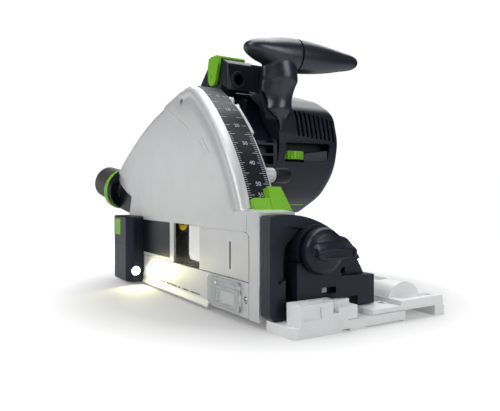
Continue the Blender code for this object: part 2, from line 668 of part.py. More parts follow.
def rear_handle():
    """Two half shells with the hood at the front, a soft pad on the back of the grip, and the controls."""
    pocket = [(2, 190.5), (38, 190.5), (38, 209), (2, 206)]
    trigger_slot = [(8, 170), (44, 170), (44, 196), (8, 196)]
    button_slot = [(62, 218), (82, 218), (82, 260), (50, 260)]
    pad_room = [(-20, 209.5), (-56, 201.9), (-92, 186.2), (-107.5, 168), (-110.5, 145), (-112, 145)]
    pad_room += [(-112, 200), (-20, 220)]

    def hollows():
        return [
            prism("y", HANDLE_INNER, 20, 80),
            prism("y", pocket, 36, 57),
            prism("y", trigger_slot, 38.4, 54.6),
            prism("y", button_slot, 41.4, 51.6),
            prism("y", pad_room, 20, 80),
            landing(56),
        ]

    y0, y1, y2, y3 = HANDLE_Y
    hook_hole = cylinder("x", (42, 220), 4, 108, 130, 16)
    left, right = (prism("y", HANDLE_OUTER, low, high) for low, high in ((y0, y1), (y2, y3)))
    solid("rear_handle_left", MOTOR, "anthracite", left, cut=hollows() + [hook_hole])
    solid("rear_handle_right", MOTOR, "anthracite", right, cut=hollows())
    soft = [(-21, 210.1), (-56.2, 202.6), (-92.4, 186.7), (-108, 168.4), (-111, 147), (-115, 148)]
    soft += [(-113, 172), (-95, 192.5), (-57, 208), (-21, 215.5)]
    solid("rear_grip_pad", MOTOR, "rubber", prism("y", soft, 33, 60))
    body = box((4, 20), (37, 56), (196.6, 203.5))
    solid("switch_module", MOTOR, "black", body, [box((8, 16), (42, 50), (195, 200))])
    blade = rounded([(10, 177, 3), (30, 174, 4), (42, 182, 0), (42, 189.5, 3), (10, 189.5, 2)], 3)
    solid("trigger", MOTOR, "green", prism("y", blade, 39, 54), pivot=(40.0, 46.5, 187.0))
    knob = [(66, 221), (76, 229), (76, 242.5), (70, 242.5), (60, 234)]
    solid("lock_button", MOTOR, "green", prism("y", knob, 42, 51), pivot=(68.0, 46.5, 230.0))


def knurled(centre, ribs, low_radius, high_radius):
    """A round outline with raised ribs."""
    points = []
    step = 360 / ribs
    corners = ((low_radius, -0.31), (high_radius, -0.14), (high_radius, 0.14), (low_radius, 0.31))
    for i in range(ribs):
        for radius, part in corners:
            angle = math.radians((i + part) * step)
            points.append((centre[0] + radius * math.cos(angle), centre[1] + radius * math.sin(angle)))
    return points


def control_parts():
    """The electronics, the speed dial and the blade-change lever."""
    chip = box((70, 90), (90, 110), (184.5, 193))
    solid("control_board", MOTOR, "board", box((62, 128), (84, 126), (183, 185)), [chip])
    dial = prism("z", knurled(DIAL, 24, 12.6, 13.7), 140.3, 148.3)
    bore = cylinder("z", DIAL, 2.2, 130, 160, 12)
    solid("speed_dial", MOTOR, "green", dial, cut=[bore], pivot=(*DIAL, 144.3))
    tongue = rounded([(87, 246, 0), (87, 222, 7), (107, 218, 9), (109, 246, 0)], 4)
    top = rounded([(84, 246.4, 0), (109, 245.6, 0), (109, 249.2, 1.5), (86, 250, 1.5)], 2)
    joint = rounded([(87, 240, 0), (109, 240, 0), (109, 249, 1), (87, 249, 1)], 2)
    add = [prism("y", top, 27.4, 58), prism("y", joint, 27.4, 30.7)]
    solid("tool_lever", MOTOR, "green", prism("y", tongue, 27.4, 30.7), add, pivot=(86.0, 44.0, 248.0))


def motor_inside():
    """Stator and bearings."""
    solid("stator", MOTOR, "copper", ring("y", MOTOR_CENTRE, 20, 34, 82, 122, 28))
    solid("motor_front_bearing", MOTOR, "steel", ring("y", MOTOR_CENTRE, 4.4, 9.2, 60.5, 66, 20))
    solid("motor_rear_bearing", MOTOR, "steel", ring("y", MOTOR_CENTRE, 4.4, 10.1, 132, 138, 20))
    solid("spindle_bearing", MOTOR, "steel", ring("y", BLADE_CENTRE, 7.4, 10.9, 24.6, 31.5, 20))


def battery():
    """A pack that slides off to the rear, with the button that releases it."""
    pack = rounded([(-64, 106, 6), (30, 106, 4), (30, 160, 3), (4, 166, 3), (-58, 166, 6), (-64, 150, 4)], 3)
    cut = [box((-70, -50), (92, 120), (128, 146))]
    cut += [box((-60, 34), (y, y + 2.4), (159, 163)) for y in (68, 141.6)]
    shape = prism("y", pack, *BATTERY_Y)
    solid("battery_pack", MOTOR, "anthracite", shape, cut=cut, pivot=(-17.0, 106.0, 136.0))
    button = rounded([(-66.5, 130, 1), (-56, 129, 1), (-56, 145, 1), (-66.5, 144, 1)], 2)
    solid("battery_latch", MOTOR, "green", prism("y", button, 93, 119), pivot=(-60.0, 106.0, 137.0))


# ---------------------------------------------------------------- drive train
def fan_blades():
    """Radial fins, which the fan's disc carries."""
    blades = []
    for i in range(9):
        angle = math.radians(40 * i)
        cos, sin = math.cos(angle), math.sin(angle)
        fin = [(9, -0.8), (31, -0.8), (31, 0.8), (9, 0.8)]
        turned = [(MOTOR_CENTRE[0] + a * cos - b * sin, MOTOR_CENTRE[1] + a * sin + b * cos) for a, b in fin]
        blades.append(prism("y", turned, 73, 79))
    return blades


def drive_train():
    """Armature and fan, idler, spindle with its gear, blade, flange and bolt."""
    low, high = GEAR_PLANE
    y_axis = (0, 1, 0)
    spindle_phase, idler_phase, pinion_phase = mesh_phases()
    rotor = cylinder("y", MOTOR_CENTRE, 18.6, 83, 121, 24)
    pinion = prism("y", gear_outline(MOTOR_CENTRE, PINION_TEETH, pinion_phase), low, high)
    start = (MOTOR_CENTRE[0], 42.5, MOTOR_CENTRE[1])
    shaft = lathe(start, y_axis, [(0, 3.0), (17, 3.0), (17, 4.0), (95, 4.0)], 16)
    solid("armature", ARMATURE, "steel", shaft, [rotor, pinion])
    hub = ring("y", MOTOR_CENTRE, 4.4, 9.5, 71.5, 79, 18)
    disc = ring("y", MOTOR_CENTRE, 4.8, 31, 71.5, 73.6, 27)
    solid("cooling_fan", ARMATURE, "black", hub, [disc] + fan_blades())
    idler = prism("y", gear_outline(IDLER_CENTRE, IDLER_TEETH, idler_phase), low, high)
    solid("idler_gear", IDLER, "steel", idler, [cylinder("y", IDLER_CENTRE, 4, 38, 58, 16)])
    x, z = BLADE_CENTRE
    spindle = lathe((x, -0.9, z), y_axis, [(0, 5), (2.2, 5), (2.2, 17), (6, 17), (6, 7), (56, 7)], 20)
    solid("spindle", SPINDLE, "steel", spindle, cut=[cylinder("y", BLADE_CENTRE, 3.4, -5, 12, 12)])
    gear = prism("y", gear_outline(BLADE_CENTRE, SPINDLE_TEETH, spindle_phase), low, high)
    solid("spindle_gear", SPINDLE, "steel", gear, cut=[cylinder("y", BLADE_CENTRE, 7.4, 30, 60, 20)])
    blade = prism("y", blade_outline(), -BLADE_BODY / 2, BLADE_BODY / 2)
    solid("saw_blade", SPINDLE, "steel", blade, cut=[cylinder("y", BLADE_CENTRE, 10, -5, 5, 24)])
    flange = lathe((x, -5.6, z), y_axis, [(0, 14), (1.5, 17), (4.5, 17)], 24)
    solid("blade_flange", SPINDLE, "black", flange, cut=[cylinder("y", BLADE_CENTRE, 4.2, -10, 5, 16)])
    bolt = lathe((x, -9.7, z), y_axis, [(0, 7), (0.8, 7.6), (3.8, 7.6), (3.8, 3.0), (14, 3.0)], 16)
    socket = lathe((x, -10.5, z), y_axis, [(0, 2.6), (3.4, 2.6)], 6)
    solid("blade_bolt", SPINDLE, "brass", bolt, cut=[socket])


def mesh_phases():
    """Phases that put a tooth of one gear opposite a gap of the next, along their line of centres."""
    def bearing(start, end):
        return math.degrees(math.atan2(end[1] - start[1], end[0] - start[0]))

    up = bearing(BLADE_CENTRE, IDLER_CENTRE)
    on = bearing(IDLER_CENTRE, MOTOR_CENTRE)
    idler = up + 180 + 180 / IDLER_TEETH
    steps = round((on - idler) / (360 / IDLER_TEETH))
    offset = on - (idler + steps * 360 / IDLER_TEETH)
    pinion = on + 180 + 180 / PINION_TEETH + offset * IDLER_TEETH / PINION_TEETH
    return up, idler, pinion


def blade_outline():
    """A circular blade with a raked tooth and a rounded gullet, repeated round the rim."""
    points = []
    step = 2 * math.pi / BLADE_TEETH
    tooth = ((0.0, 0.0), (1.2, 0.42), (6.0, 0.72), (5.6, 0.94))
    for i in range(BLADE_TEETH):
        for drop, part in tooth:
            radius = BLADE_RADIUS - drop
            angle = (i + part) * step
            x, z = BLADE_CENTRE
            points.append((x + radius * math.cos(angle), z + radius * math.sin(angle)))
    return points


# ---------------------------------------------------------------- assembly
base_plate()
rail_jaw("front_rail_jaw", JAWS[0])
rail_jaw("rear_rail_jaw", JAWS[1])
bevel_segment("front_segment", 249.3, 12.5, 1)
bevel_segment("rear_segment", -48.3, 9.5, -1)
screw("front_segment_screw", BASE, (258, 83.6, 26), (0, 1, 0), 3.2, 4.2)
lock_knob("front_lock_knob", 268.4, 1)
lock_knob("rear_lock_knob", -64.4, -1)
knob_bolt("front_knob_bolt", 240.9, 276.0, 237.9)
knob_bolt("rear_knob_bolt", -41.9, -72.0, -38.9)
guard_housing()
guard_cover()
skirt_panel()
inner_cover_plate()
splinter_guard()
screw("guard_top_screw", TILT, (TOP_SCREW[0], -11.2, TOP_SCREW[1]), (0, -1, 0), 4.6, 3.4)
screw("guard_front_screw", TILT, (FRONT_SCREW[0], -9.0, FRONT_SCREW[1]), (0, -1, 0), 4.7, 5.4)
depth_scale()
depth_stop()
stop_buffer()
led_unit()
tilt_flange("front_tilt_flange", (241.3, 248.7))
tilt_flange("rear_tilt_flange", (-47.9, -42.3))
pivot_shaft()
return_spring()
dust_port()
gear_housing()
gear_cover()
riving_knife()
motor_housing()
motor_end_cap()
front_handle()
rear_handle()
control_parts()
motor_inside()
battery()
drive_train()
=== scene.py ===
"""The looks of the track plunge saw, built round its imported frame.

Shapes are given in saw coordinates, in millimetres: X forward from the plunge axle,
Y from the blade plane towards the motor, Z up from the sole. ORIGIN, which is read from
the frame, carries them into the frame's metres.
"""

import json
import math

import bmesh
import bpy
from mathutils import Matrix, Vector, geometry


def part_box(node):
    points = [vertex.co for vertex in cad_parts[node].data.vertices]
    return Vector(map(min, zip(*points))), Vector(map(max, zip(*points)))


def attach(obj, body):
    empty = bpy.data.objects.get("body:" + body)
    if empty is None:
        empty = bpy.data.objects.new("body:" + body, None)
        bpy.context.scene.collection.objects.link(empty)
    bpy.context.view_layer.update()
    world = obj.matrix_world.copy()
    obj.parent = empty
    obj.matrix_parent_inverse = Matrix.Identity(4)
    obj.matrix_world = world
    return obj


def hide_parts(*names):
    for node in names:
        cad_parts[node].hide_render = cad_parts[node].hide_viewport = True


MM = 0.001
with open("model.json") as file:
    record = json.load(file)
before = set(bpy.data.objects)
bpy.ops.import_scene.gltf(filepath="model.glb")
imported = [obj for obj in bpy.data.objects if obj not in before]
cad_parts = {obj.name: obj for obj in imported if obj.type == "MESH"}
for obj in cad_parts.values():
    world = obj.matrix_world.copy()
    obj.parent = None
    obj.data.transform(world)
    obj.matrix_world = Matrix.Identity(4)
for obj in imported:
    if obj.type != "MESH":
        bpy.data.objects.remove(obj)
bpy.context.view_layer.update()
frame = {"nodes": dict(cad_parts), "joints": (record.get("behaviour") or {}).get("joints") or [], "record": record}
JOINTS = {joint["name"]: joint for joint in frame["joints"]}


def read_origin():
    """The frame's place of the saw's own zero: axle, blade plane and sole."""
    axle = JOINTS["plunge"]["pos_m"]
    blade_low, blade_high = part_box("saw_blade")
    return Vector((axle[0], (blade_low.y + blade_high.y) / 2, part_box("base_plate")[0].z))


ORIGIN = read_origin()


def saw(point):
    """A frame position in saw coordinates."""
    return (Vector(point) - ORIGIN) / MM


def span(node):
    """A node's lowest and highest corner, in saw coordinates."""
    low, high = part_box(node)
    return saw(low), saw(high)


PIVOT = tuple(saw(JOINTS["plunge"]["pos_m"]).xz)
BLADE_CENTRE = tuple(saw(JOINTS["spindle_spin"]["pos_m"]).xz)
SCALE_RADIUS = 234.8
COVER_RADIUS = 236.0
FACE_Y = span("guard_cover")[0].y

# ---- outlines
def arc(centre, radius, start, end, steps):
    """Points along an arc, with angles in degrees."""
    points = []
    for i in range(steps + 1):
        angle = math.radians(start + (end - start) * i / steps)
        points.append((centre[0] + radius * math.cos(angle), centre[1] + radius * math.sin(angle)))
    return points


def circle(centre, radius, steps=40):
    return arc(centre, radius, 0, 360 * (steps - 1) / steps, steps - 1)


def at_angle(radius, angle):
    """A place round the plunge axle."""
    return arc(PIVOT, radius, angle, angle, 1)[0]


def plunged(outline):
    """The outline as it lies when the saw is pushed down all the way."""
    angle = math.radians(JOINTS["plunge"]["range_deg"][1])
    cos, sin = math.cos(angle), math.sin(angle)
    moves = [(a - PIVOT[0], b - PIVOT[1]) for a, b in outline]
    return [(PIVOT[0] + a * cos + b * sin, PIVOT[1] - a * sin + b * cos) for a, b in moves]


def band(centre, inner, outer, start, end, steps):
    """A curved strip between two radii."""
    return arc(centre, inner, start, end, steps) + arc(centre, outer, end, start, steps)


def rounded(corners, steps=6):
    """An outline whose corners (a, b, radius) are filleted."""
    points = []
    for i, (a, b, radius) in enumerate(corners):
        here = Vector((a, b))
        if not radius:
            points.append((a, b))
            continue
        to_last = (Vector(corners[i - 1][:2]) - here).normalized()
        to_next = (Vector(corners[(i + 1) % len(corners)][:2]) - here).normalized()
        half = to_last.angle(to_next) / 2
        middle = here + (to_last + to_next).normalized() * (radius / math.sin(half))
        first = here + to_last * (radius / math.tan(half)) - middle
        last = here + to_next * (radius / math.tan(half)) - middle
        turn = math.atan2(first.x * last.y - first.y * last.x, first.dot(last))
        for k in range(steps + 1):
            cos, sin = math.cos(turn * k / steps), math.sin(turn * k / steps)
            points.append((middle.x + first.x * cos - first.y * sin,
                           middle.y + first.x * sin + first.y * cos))
    return points


def round_box(a, b, radius, steps=6):
    """A rectangle with rounded corners, from its (low, high) in two axes."""
    corners = ((a[0], b[0]), (a[1], b[0]), (a[1], b[1]), (a[0], b[1]))
    return rounded([corner + (radius,) for corner in corners], steps)


def inset(points, distance):
    """The outline moved inwards by a distance."""
    area = sum(p[0] * q[1] - q[0] * p[1] for p, q in zip(points, points[1:] + points[:1]))
    side = 1 if area > 0 else -1
    moved = []
    for i, point in enumerate(points):
        here = Vector(point)
        before = (here - Vector(points[i - 1])).normalized()
        after = (Vector(points[(i + 1) % len(points)]) - here).normalized()
        normal = Vector((-before.y - after.y, before.x + after.x)).normalized() * side
        across = Vector((-before.y, before.x)) * side
        moved.append(tuple(here + normal * (distance / max(0.35, normal.dot(across)))))
    return moved


# ---- shapes, as bmeshes
def placed(name, data):
    """A new object in the scene for some data."""
    obj = bpy.data.objects.new(name, data)
    bpy.context.scene.collection.objects.link(obj)
    return obj


def mesh_data(name, mesh):
    """A bmesh as mesh data; the bmesh is freed."""
    data = bpy.data.meshes.new(name)
    mesh.to_mesh(data)
    mesh.free()
    return data


PLACE = {
    "x": lambda a, b, t: (t, a, b),
    "y": lambda a, b, t: (a, t, b),
    "z": lambda a, b, t: (a, b, t),
}
AXES = {"x": (1, 0, 0), "y": (0, 1, 0), "z": (0, 0, 1)}


def skin(rings, closed=False, caps=True):
    """A surface through rings of equally many points."""
    mesh = bmesh.new()
    rows = [[mesh.verts.new(point) for point in ring] for ring in rings]
    pairs = list(zip(rows, rows[1:])) + ([(rows[-1], rows[0])] if closed else [])
    for low, high in pairs:
        for i, start in enumerate(low):
            j = (i + 1) % len(low)
            mesh.faces.new((start, low[j], high[j], high[i]))
    if caps and not closed:
        mesh.faces.new(rows[0])
        mesh.faces.new(rows[-1])
    bmesh.ops.recalc_face_normals(mesh, faces=mesh.faces)
    return mesh


def prism(axis, outline, low, high):
    """An outline extruded along an axis. It is given in the other two axes, in order."""
    return skin([[PLACE[axis](a, b, t) for a, b in outline] for t in (low, high)])


def box(x, y, z):
    return prism("z", [(x[0], y[0]), (x[1], y[0]), (x[1], y[1]), (x[0], y[1])], z[0], z[1])


def lathe(start, direction, profile, sides=48, hollow=False):
    """A profile of (distance, radius) turned round a direction. A hollow profile is a closed loop."""
    turn = Vector((0, 0, 1)).rotation_difference(Vector(direction).normalized()).to_matrix()
    rings = []
    for distance, radius in profile:
        wide = max(radius, 0.001)
        angles = [2 * math.pi * i / sides for i in range(sides)]
        rings.append([Vector(start) + turn @ Vector((wide * math.cos(t), wide * math.sin(t), distance))
                      for t in angles])
    return skin(rings, closed=hollow)


def cylinder(axis, centre, radius, low, high, sides=40):
    return lathe(PLACE[axis](*centre, low), AXES[axis], [(0, radius), (high - low, radius)], sides)


def ring(axis, centre, inner, outer, low, high, sides=40):
    profile = [(0, inner), (0, outer), (high - low, outer), (high - low, inner)]
    return lathe(PLACE[axis](*centre, low), AXES[axis], profile, sides, hollow=True)


def temporary(mesh):
    return placed("temporary", mesh_data("temporary", mesh))


def settle(obj):
    """The object's evaluated mesh as a bmesh; the object is removed."""
    bpy.context.view_layer.update()
    graph = bpy.context.evaluated_depsgraph_get()
    mesh = bmesh.new()
    mesh.from_mesh(bpy.data.meshes.new_from_object(obj.evaluated_get(graph)))
    bpy.data.objects.remove(obj)
    return mesh


def carve(shape, add=(), cut=()):
    """One mesh: a shape with others joined to it, and then others cut from it."""
    obj = temporary(shape)
    tools = [("UNION", temporary(t)) for t in add] + [("DIFFERENCE", temporary(t)) for t in cut]
    for kind, tool in tools:
        boolean = obj.modifiers.new(kind, "BOOLEAN")
        boolean.operation = kind
        boolean.object = tool
    mesh = settle(obj)
    for _, tool in tools:
        bpy.data.objects.remove(tool)
    return mesh


def blended(shape, voxel, rounds, add=(), cut=()):
    """A carved shape remeshed and smoothed, so that its parts flow into each other."""
    obj = temporary(carve(shape, add, cut))
    remesh = obj.modifiers.new("remesh", "REMESH")
    remesh.mode = "VOXEL"
    remesh.voxel_size = voxel
    soften = obj.modifiers.new("soften", "SMOOTH")
    soften.factor = 0.6
    soften.iterations = rounds
    return settle(obj)


def joined(shapes):
    """Several separate shapes in one mesh."""
    whole = bmesh.new()
    for shape in shapes:
        data = mesh_data("temporary", shape)
        whole.from_mesh(data)
        bpy.data.meshes.remove(data)
    return whole


# ---- materials
def add_node(tree, kind, place, **inputs):
    node = tree.nodes.new(kind)
    node.location = place
    for name, value in inputs.items():
        node.inputs[name.replace("_", " ")].default_value = value
    return node


def noise(tree, vector, scale, detail, place):
    node = add_node(tree, "ShaderNodeTexNoise", place, Scale=scale, Detail=detail, Roughness=0.55)
    tree.links.new(vector, node.inputs["Vector"])
    return node.outputs["Fac"]


def ranged(tree, value, low, high, place, start=0.3, end=0.7):
    """A value from start to end (noise mostly gives 0.3 to 0.7) spread over low to high."""
    node = add_node(tree, "ShaderNodeMapRange", place, From_Min=start, From_Max=end,
                    To_Min=low, To_Max=high)
    tree.links.new(value, node.inputs["Value"])
    return node.outputs["Result"]


def look(name, colour, roughness, metallic=0.0, mottle=0.06, grain=2200, depth=0.05, swing=0.06,
         stretch=(1, 1, 1), edge=0.0, specular=0.5, tint=(1, 1, 1), more=()):
    """A procedural finish: mottled colour, uneven roughness, a fine grain, and paler worn edges."""
    made = bpy.data.materials.new(name)
    made.use_nodes = True
    tree = made.node_tree
    shader = tree.nodes["Principled BSDF"]
    shader.inputs["Metallic"].default_value = metallic
    shader.inputs["Specular IOR Level"].default_value = specular
    shader.inputs["Specular Tint"].default_value = tint + (1,)
    for socket, value in more:
        shader.inputs[socket].default_value = value
    place = add_node(tree, "ShaderNodeTexCoord", (-1400, 0)).outputs["Object"]
    mapping = add_node(tree, "ShaderNodeMapping", (-1200, 0), Scale=stretch)
    tree.links.new(place, mapping.inputs["Vector"])
    vector = mapping.outputs["Vector"]
    broad = noise(tree, vector, 35, 3, (-1000, 200))
    fine = noise(tree, vector, grain, 2, (-1000, -200))
    colours = add_node(tree, "ShaderNodeMix", (-400, 200))
    colours.data_type = "RGBA"
    dark, pale = (tuple(min(1, c * k) for c in colour) + (1,) for k in (1 - mottle, 1 + mottle))
    colours.inputs["A"].default_value = dark
    colours.inputs["B"].default_value = pale
    tree.links.new(ranged(tree, broad, 0, 1, (-700, 200)), colours.inputs["Factor"])
    surface = colours.outputs["Result"]
    if edge:
        geometry_node = add_node(tree, "ShaderNodeNewGeometry", (-700, 500))
        worn = ranged(tree, geometry_node.outputs["Pointiness"], 0, edge, (-500, 500), 0.53, 0.62)
        wear = add_node(tree, "ShaderNodeMix", (-200, 300))
        wear.data_type = "RGBA"
        wear.inputs["B"].default_value = tuple(min(1, c * 1.6 + 0.05) for c in colour) + (1,)
        tree.links.new(worn, wear.inputs["Factor"])
        tree.links.new(surface, wear.inputs["A"])
        surface = wear.outputs["Result"]
    tree.links.new(surface, shader.inputs["Base Color"])
    uneven = ranged(tree, fine, roughness - swing, roughness + swing, (-700, -100))
    tree.links.new(uneven, shader.inputs["Roughness"])
    bump = add_node(tree, "ShaderNodeBump", (-300, -300), Strength=1.0, Distance=depth * MM)
    tree.links.new(fine, bump.inputs["Height"])
    tree.links.new(bump.outputs["Normal"], shader.inputs["Normal"])
    return made


DARK_BLUE = (0.0075, 0.0095, 0.0175)
COOL_SHINE = (0.82, 0.88, 1.0)

# Each look's numbers: roughness, metallic, mottle, grain, its depth in mm, swing of the roughness
LOOKS = {
    "silver": look("silver", (0.62, 0.625, 0.63), 0.4, 0.35, 0.03, 2600, 0.035, 0.05, edge=0.15),
    "base_alloy": look("base_alloy", (0.85, 0.855, 0.86), 0.42, 0.05, 0.03, 1500, 0.05, 0.08, edge=0.3),
    "anthracite": look("anthracite", DARK_BLUE, 0.36, 0.0, 0.12, 2400, 0.04, 0.05, edge=0.08,
                       specular=0.42, tint=COOL_SHINE),
    "satin": look("satin", DARK_BLUE, 0.33, 0.0, 0.12, 2400, 0.02, 0.04,
                  specular=0.95, tint=(0.86, 0.9, 1.0)),
    "black": look("black", (0.005, 0.006, 0.0095), 0.4, 0.0, 0.2, 2600, 0.04, 0.08,
                  specular=0.35, tint=COOL_SHINE),
    "rubber": look("rubber", (0.006, 0.0065, 0.009), 0.5, 0.0, 0.15, 1800, 0.08, 0.08),
    "green": look("green", (0.19, 0.50, 0.016), 0.36, 0.0, 0.05, 2400, 0.03, 0.05),
    "steel": look("steel", (0.52, 0.52, 0.53), 0.28, 1.0, 0.08, 1400, 0.03, 0.08, stretch=(1, 6, 1)),
    "copper": look("copper", (0.55, 0.23, 0.1), 0.35, 1.0, 0.15, 900, 0.1, 0.1),
    "board": look("board", (0.02, 0.16, 0.06), 0.45, 0.0, 0.2, 700, 0.05, 0.1),
    "clear": look("clear", (0.86, 0.9, 0.9), 0.12, 0.0, 0.02, 900, 0.02, 0.05,
                  more=(("Transmission Weight", 0.85), ("IOR", 1.3))),
    "brass": look("brass", (0.62, 0.38, 0.05), 0.32, 0.9, 0.1, 1500, 0.03, 0.06),
    "lamp": look("lamp", (1.0, 0.98, 0.85), 0.2,
                 more=(("Emission Color", (1.0, 1.0, 0.82, 1)), ("Emission Strength", 9.0))),
    "grey_plastic": look("grey_plastic", (0.045, 0.042, 0.04), 0.5, 0.0, 0.12, 2000, 0.06, 0.06),
    "white_mark": look("white_mark", (0.42, 0.45, 0.52), 0.5, 0.0, 0.05, 2500, 0.01, 0.05),
    "yellow": look("yellow", (0.85, 0.58, 0.015), 0.4, 0.0, 0.05, 2500, 0.01, 0.05),
}


# ---- pieces
def finish(obj, bevel, segments, angle):
    """Rounds the edges, and shades faces by their size so that flats stay flat."""
    obj.data.shade_smooth()
    if bevel:
        edges = obj.modifiers.new("edges", "BEVEL")
        edges.width = bevel * MM
        edges.segments = segments
        edges.limit_method = "ANGLE"
        edges.angle_limit = math.radians(angle)
        edges.use_clamp_overlap = True
        edges.miter_outer = "MITER_ARC"
        normals = obj.modifiers.new("normals", "WEIGHTED_NORMAL")
        normals.weight = 80
    else:
        obj.data.set_sharp_from_angle(angle=math.radians(angle))


def piece(name, body, colour, mesh, replaces=(), bevel=0.5, segments=2, angle=30):
    """A named piece of this mesh, in metres, riding on a body."""
    bmesh.ops.scale(mesh, vec=(MM, MM, MM), verts=mesh.verts)
    bmesh.ops.translate(mesh, vec=ORIGIN, verts=mesh.verts)
    obj = placed(name, mesh_data(name, mesh))
    obj.data.materials.append(LOOKS[colour])
    finish(obj, bevel, segments, angle)
    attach(obj, body)
    if replaces:
        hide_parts(*replaces)


def dress_nodes():
    """Every CAD node's own mesh gets its procedural finish, welded and with soft edges."""
    for row in frame["record"]["subparts"]:
        obj = frame["nodes"][row["node"]]
        obj.data.materials.clear()
        obj.data.materials.append(LOOKS[row["material_slot"]])
        weld = obj.modifiers.new("weld", "WELD")
        weld.merge_threshold = 0.02 * MM
        finish(obj, bevel=0.35, segments=2, angle=30)


# ---- studio
CAMERA_PLACE = (586.0, -232.5, 105.0)
CAMERA_HEADING, CAMERA_DIP = 58.2, 1.25


def camera():
    data = bpy.data.cameras.new("camera")
    data.lens = 37.8
    data.sensor_width = 36
    data.clip_start = 0.01
    obj = placed("camera", data)
    obj.location = ORIGIN + Vector(CAMERA_PLACE) * MM
    obj.rotation_euler = (math.radians(90 - CAMERA_DIP), 0, math.radians(CAMERA_HEADING))
    bpy.context.scene.camera = obj


def softbox(name, place, target, size, power):
    data = bpy.data.lights.new(name, "AREA")
    data.shape = "RECTANGLE"
    data.size, data.size_y = size
    data.energy = power
    obj = placed(name, data)
    obj.location = ORIGIN + Vector(place) * MM
    direction = (Vector(target) - Vector(place)).normalized()
    obj.rotation_euler = direction.to_track_quat("-Z", "Y").to_euler()


def studio():
    """A white room: what the camera sees of it is white, and what lights the saw is dimmer."""
    scene = bpy.context.scene
    scene.view_settings.view_transform = "Standard"
    world = bpy.data.worlds.new("studio")
    scene.world = world
    world.use_nodes = True
    tree = world.node_tree
    tree.nodes.clear()
    path = tree.nodes.new("ShaderNodeLightPath")
    seen = add_node(tree, "ShaderNodeBackground", (0, 100), Color=(1, 1, 1, 1), Strength=1.02)
    lit = add_node(tree, "ShaderNodeBackground", (0, -100), Color=(0.95, 0.97, 1, 1), Strength=0.1)
    mix = tree.nodes.new("ShaderNodeMixShader")
    out = tree.nodes.new("ShaderNodeOutputWorld")
    tree.links.new(path.outputs["Is Camera Ray"], mix.inputs["Fac"])
    tree.links.new(lit.outputs["Background"], mix.inputs[1])
    tree.links.new(seen.outputs["Background"], mix.inputs[2])
    tree.links.new(mix.outputs["Shader"], out.inputs["Surface"])
    softbox("key", (250, -800, 620), (90, 0, 100), (0.7, 0.5), 4.2)
    softbox("top", (150, 60, 900), (100, 40, 100), (0.9, 0.5), 5.0)
    softbox("front", (950, 250, 380), (150, 60, 100), (0.5, 0.4), 2.2)
    softbox("rear", (-460, 480, 800), (100, 40, 160), (1.0, 0.8), 5)
    softbox("side", (-760, -500, 170), (140, 0, 110), (0.42, 0.32), 0.7)


def floor():
    """A white floor that glows for the camera, more so far out, so that it fades into the room."""
    mesh = bmesh.new()
    bmesh.ops.create_circle(mesh, cap_ends=True, segments=96, radius=0.95)
    obj = placed("floor", mesh_data("floor", mesh))
    obj.location = (0, 0, ORIGIN.z - 0.2 * MM)
    made = bpy.data.materials.new("floor")
    made.use_nodes = True
    tree = made.node_tree
    shader = tree.nodes["Principled BSDF"]
    shader.inputs["Base Color"].default_value = (0.5, 0.5, 0.5, 1)
    shader.inputs["Roughness"].default_value = 0.8
    shader.inputs["Emission Color"].default_value = (1, 1, 1, 1)
    place = add_node(tree, "ShaderNodeTexCoord", (-900, 0)).outputs["Object"]
    away = add_node(tree, "ShaderNodeVectorMath", (-700, 0))
    away.operation = "LENGTH"
    tree.links.new(place, away.inputs[0])
    glow = ranged(tree, away.outputs["Value"], 0.15, 1.0, (-500, 0), 0.15, 0.33)
    seen = add_node(tree, "ShaderNodeLightPath", (-500, -300)).outputs["Is Camera Ray"]
    strength = add_node(tree, "ShaderNodeMix", (-300, -100), A=0.16)
    tree.links.new(seen, strength.inputs["Factor"])
    tree.links.new(glow, strength.inputs["B"])
    tree.links.new(strength.outputs["Result"], shader.inputs["Emission Strength"])
    obj.data.materials.append(made)


# ---- guard
GUARD_FRONT = 247.0
LEDGE_Z = 91.0
SEAM_Z = 34.4
RIM_START, RIM_END = 20.7, 55.5
CROWN = [(126, 208.2), (121.5, 209.5), (116, 209.9), (110, 209.6), (104, 208.5)]
SLOPE = [(61.5, 199.5), (58.5, 198), (57, 196.3), (30, 189.5), (6, 182), (-20, 172), (-47, 160), (-66, 151)]
TAIL = [(-84, 141.5), (-93, 136.5), (-97.5, 133), (-99.6, 129), (-99, 124), (-92, 119),
        (-83.5, 114), (-66, 106.5)]
HEEL = [(-48, 101), (-50.5, 94), (-56.8, 79)]
# Places on the side view (x, z)
TOP_SCREW = (102, 197.5)
FRONT_SCREW = (226.6, 19.5)
BUFFER = (196, 122)


def guard_outline(bottom):
    """The side view of the cover: base edge, front, round rim, crown and sloping back."""
    rim = arc(PIVOT, COVER_RADIUS, RIM_START, RIM_END, 40)
    return [(GUARD_FRONT, 5), (GUARD_FRONT, LEDGE_Z)] + rim + CROWN + SLOPE + TAIL + HEEL + [(-56.8, bottom)]


def resampled(outline, step):
    """The closed outline with points at most a step apart."""
    points = []
    for a, b in zip(outline, outline[1:] + outline[:1]):
        count = max(1, math.ceil((Vector(b) - Vector(a)).length / step))
        points += [tuple(Vector(a).lerp(Vector(b), i / count)) for i in range(count)]
    return points


def edge_distance(point, line):
    """How far a point is from a line of points."""
    here = Vector(point)
    nearest = 1e9
    for a, b in zip(line, line[1:]):
        start, along = Vector(a), Vector(b) - Vector(a)
        part = max(0.0, min(1.0, (here - start).dot(along) / max(1e-9, along.length_squared)))
        nearest = min(nearest, (start + along * part - here).length)
    return nearest


def inside(point, outline):
    x, z = point
    found = False
    for (ax, az), (bx, bz) in zip(outline, outline[1:] + outline[:1]):
        if (az > z) != (bz > z) and x < (bx - ax) * (z - az) / (bz - az) + ax:
            found = not found
    return found


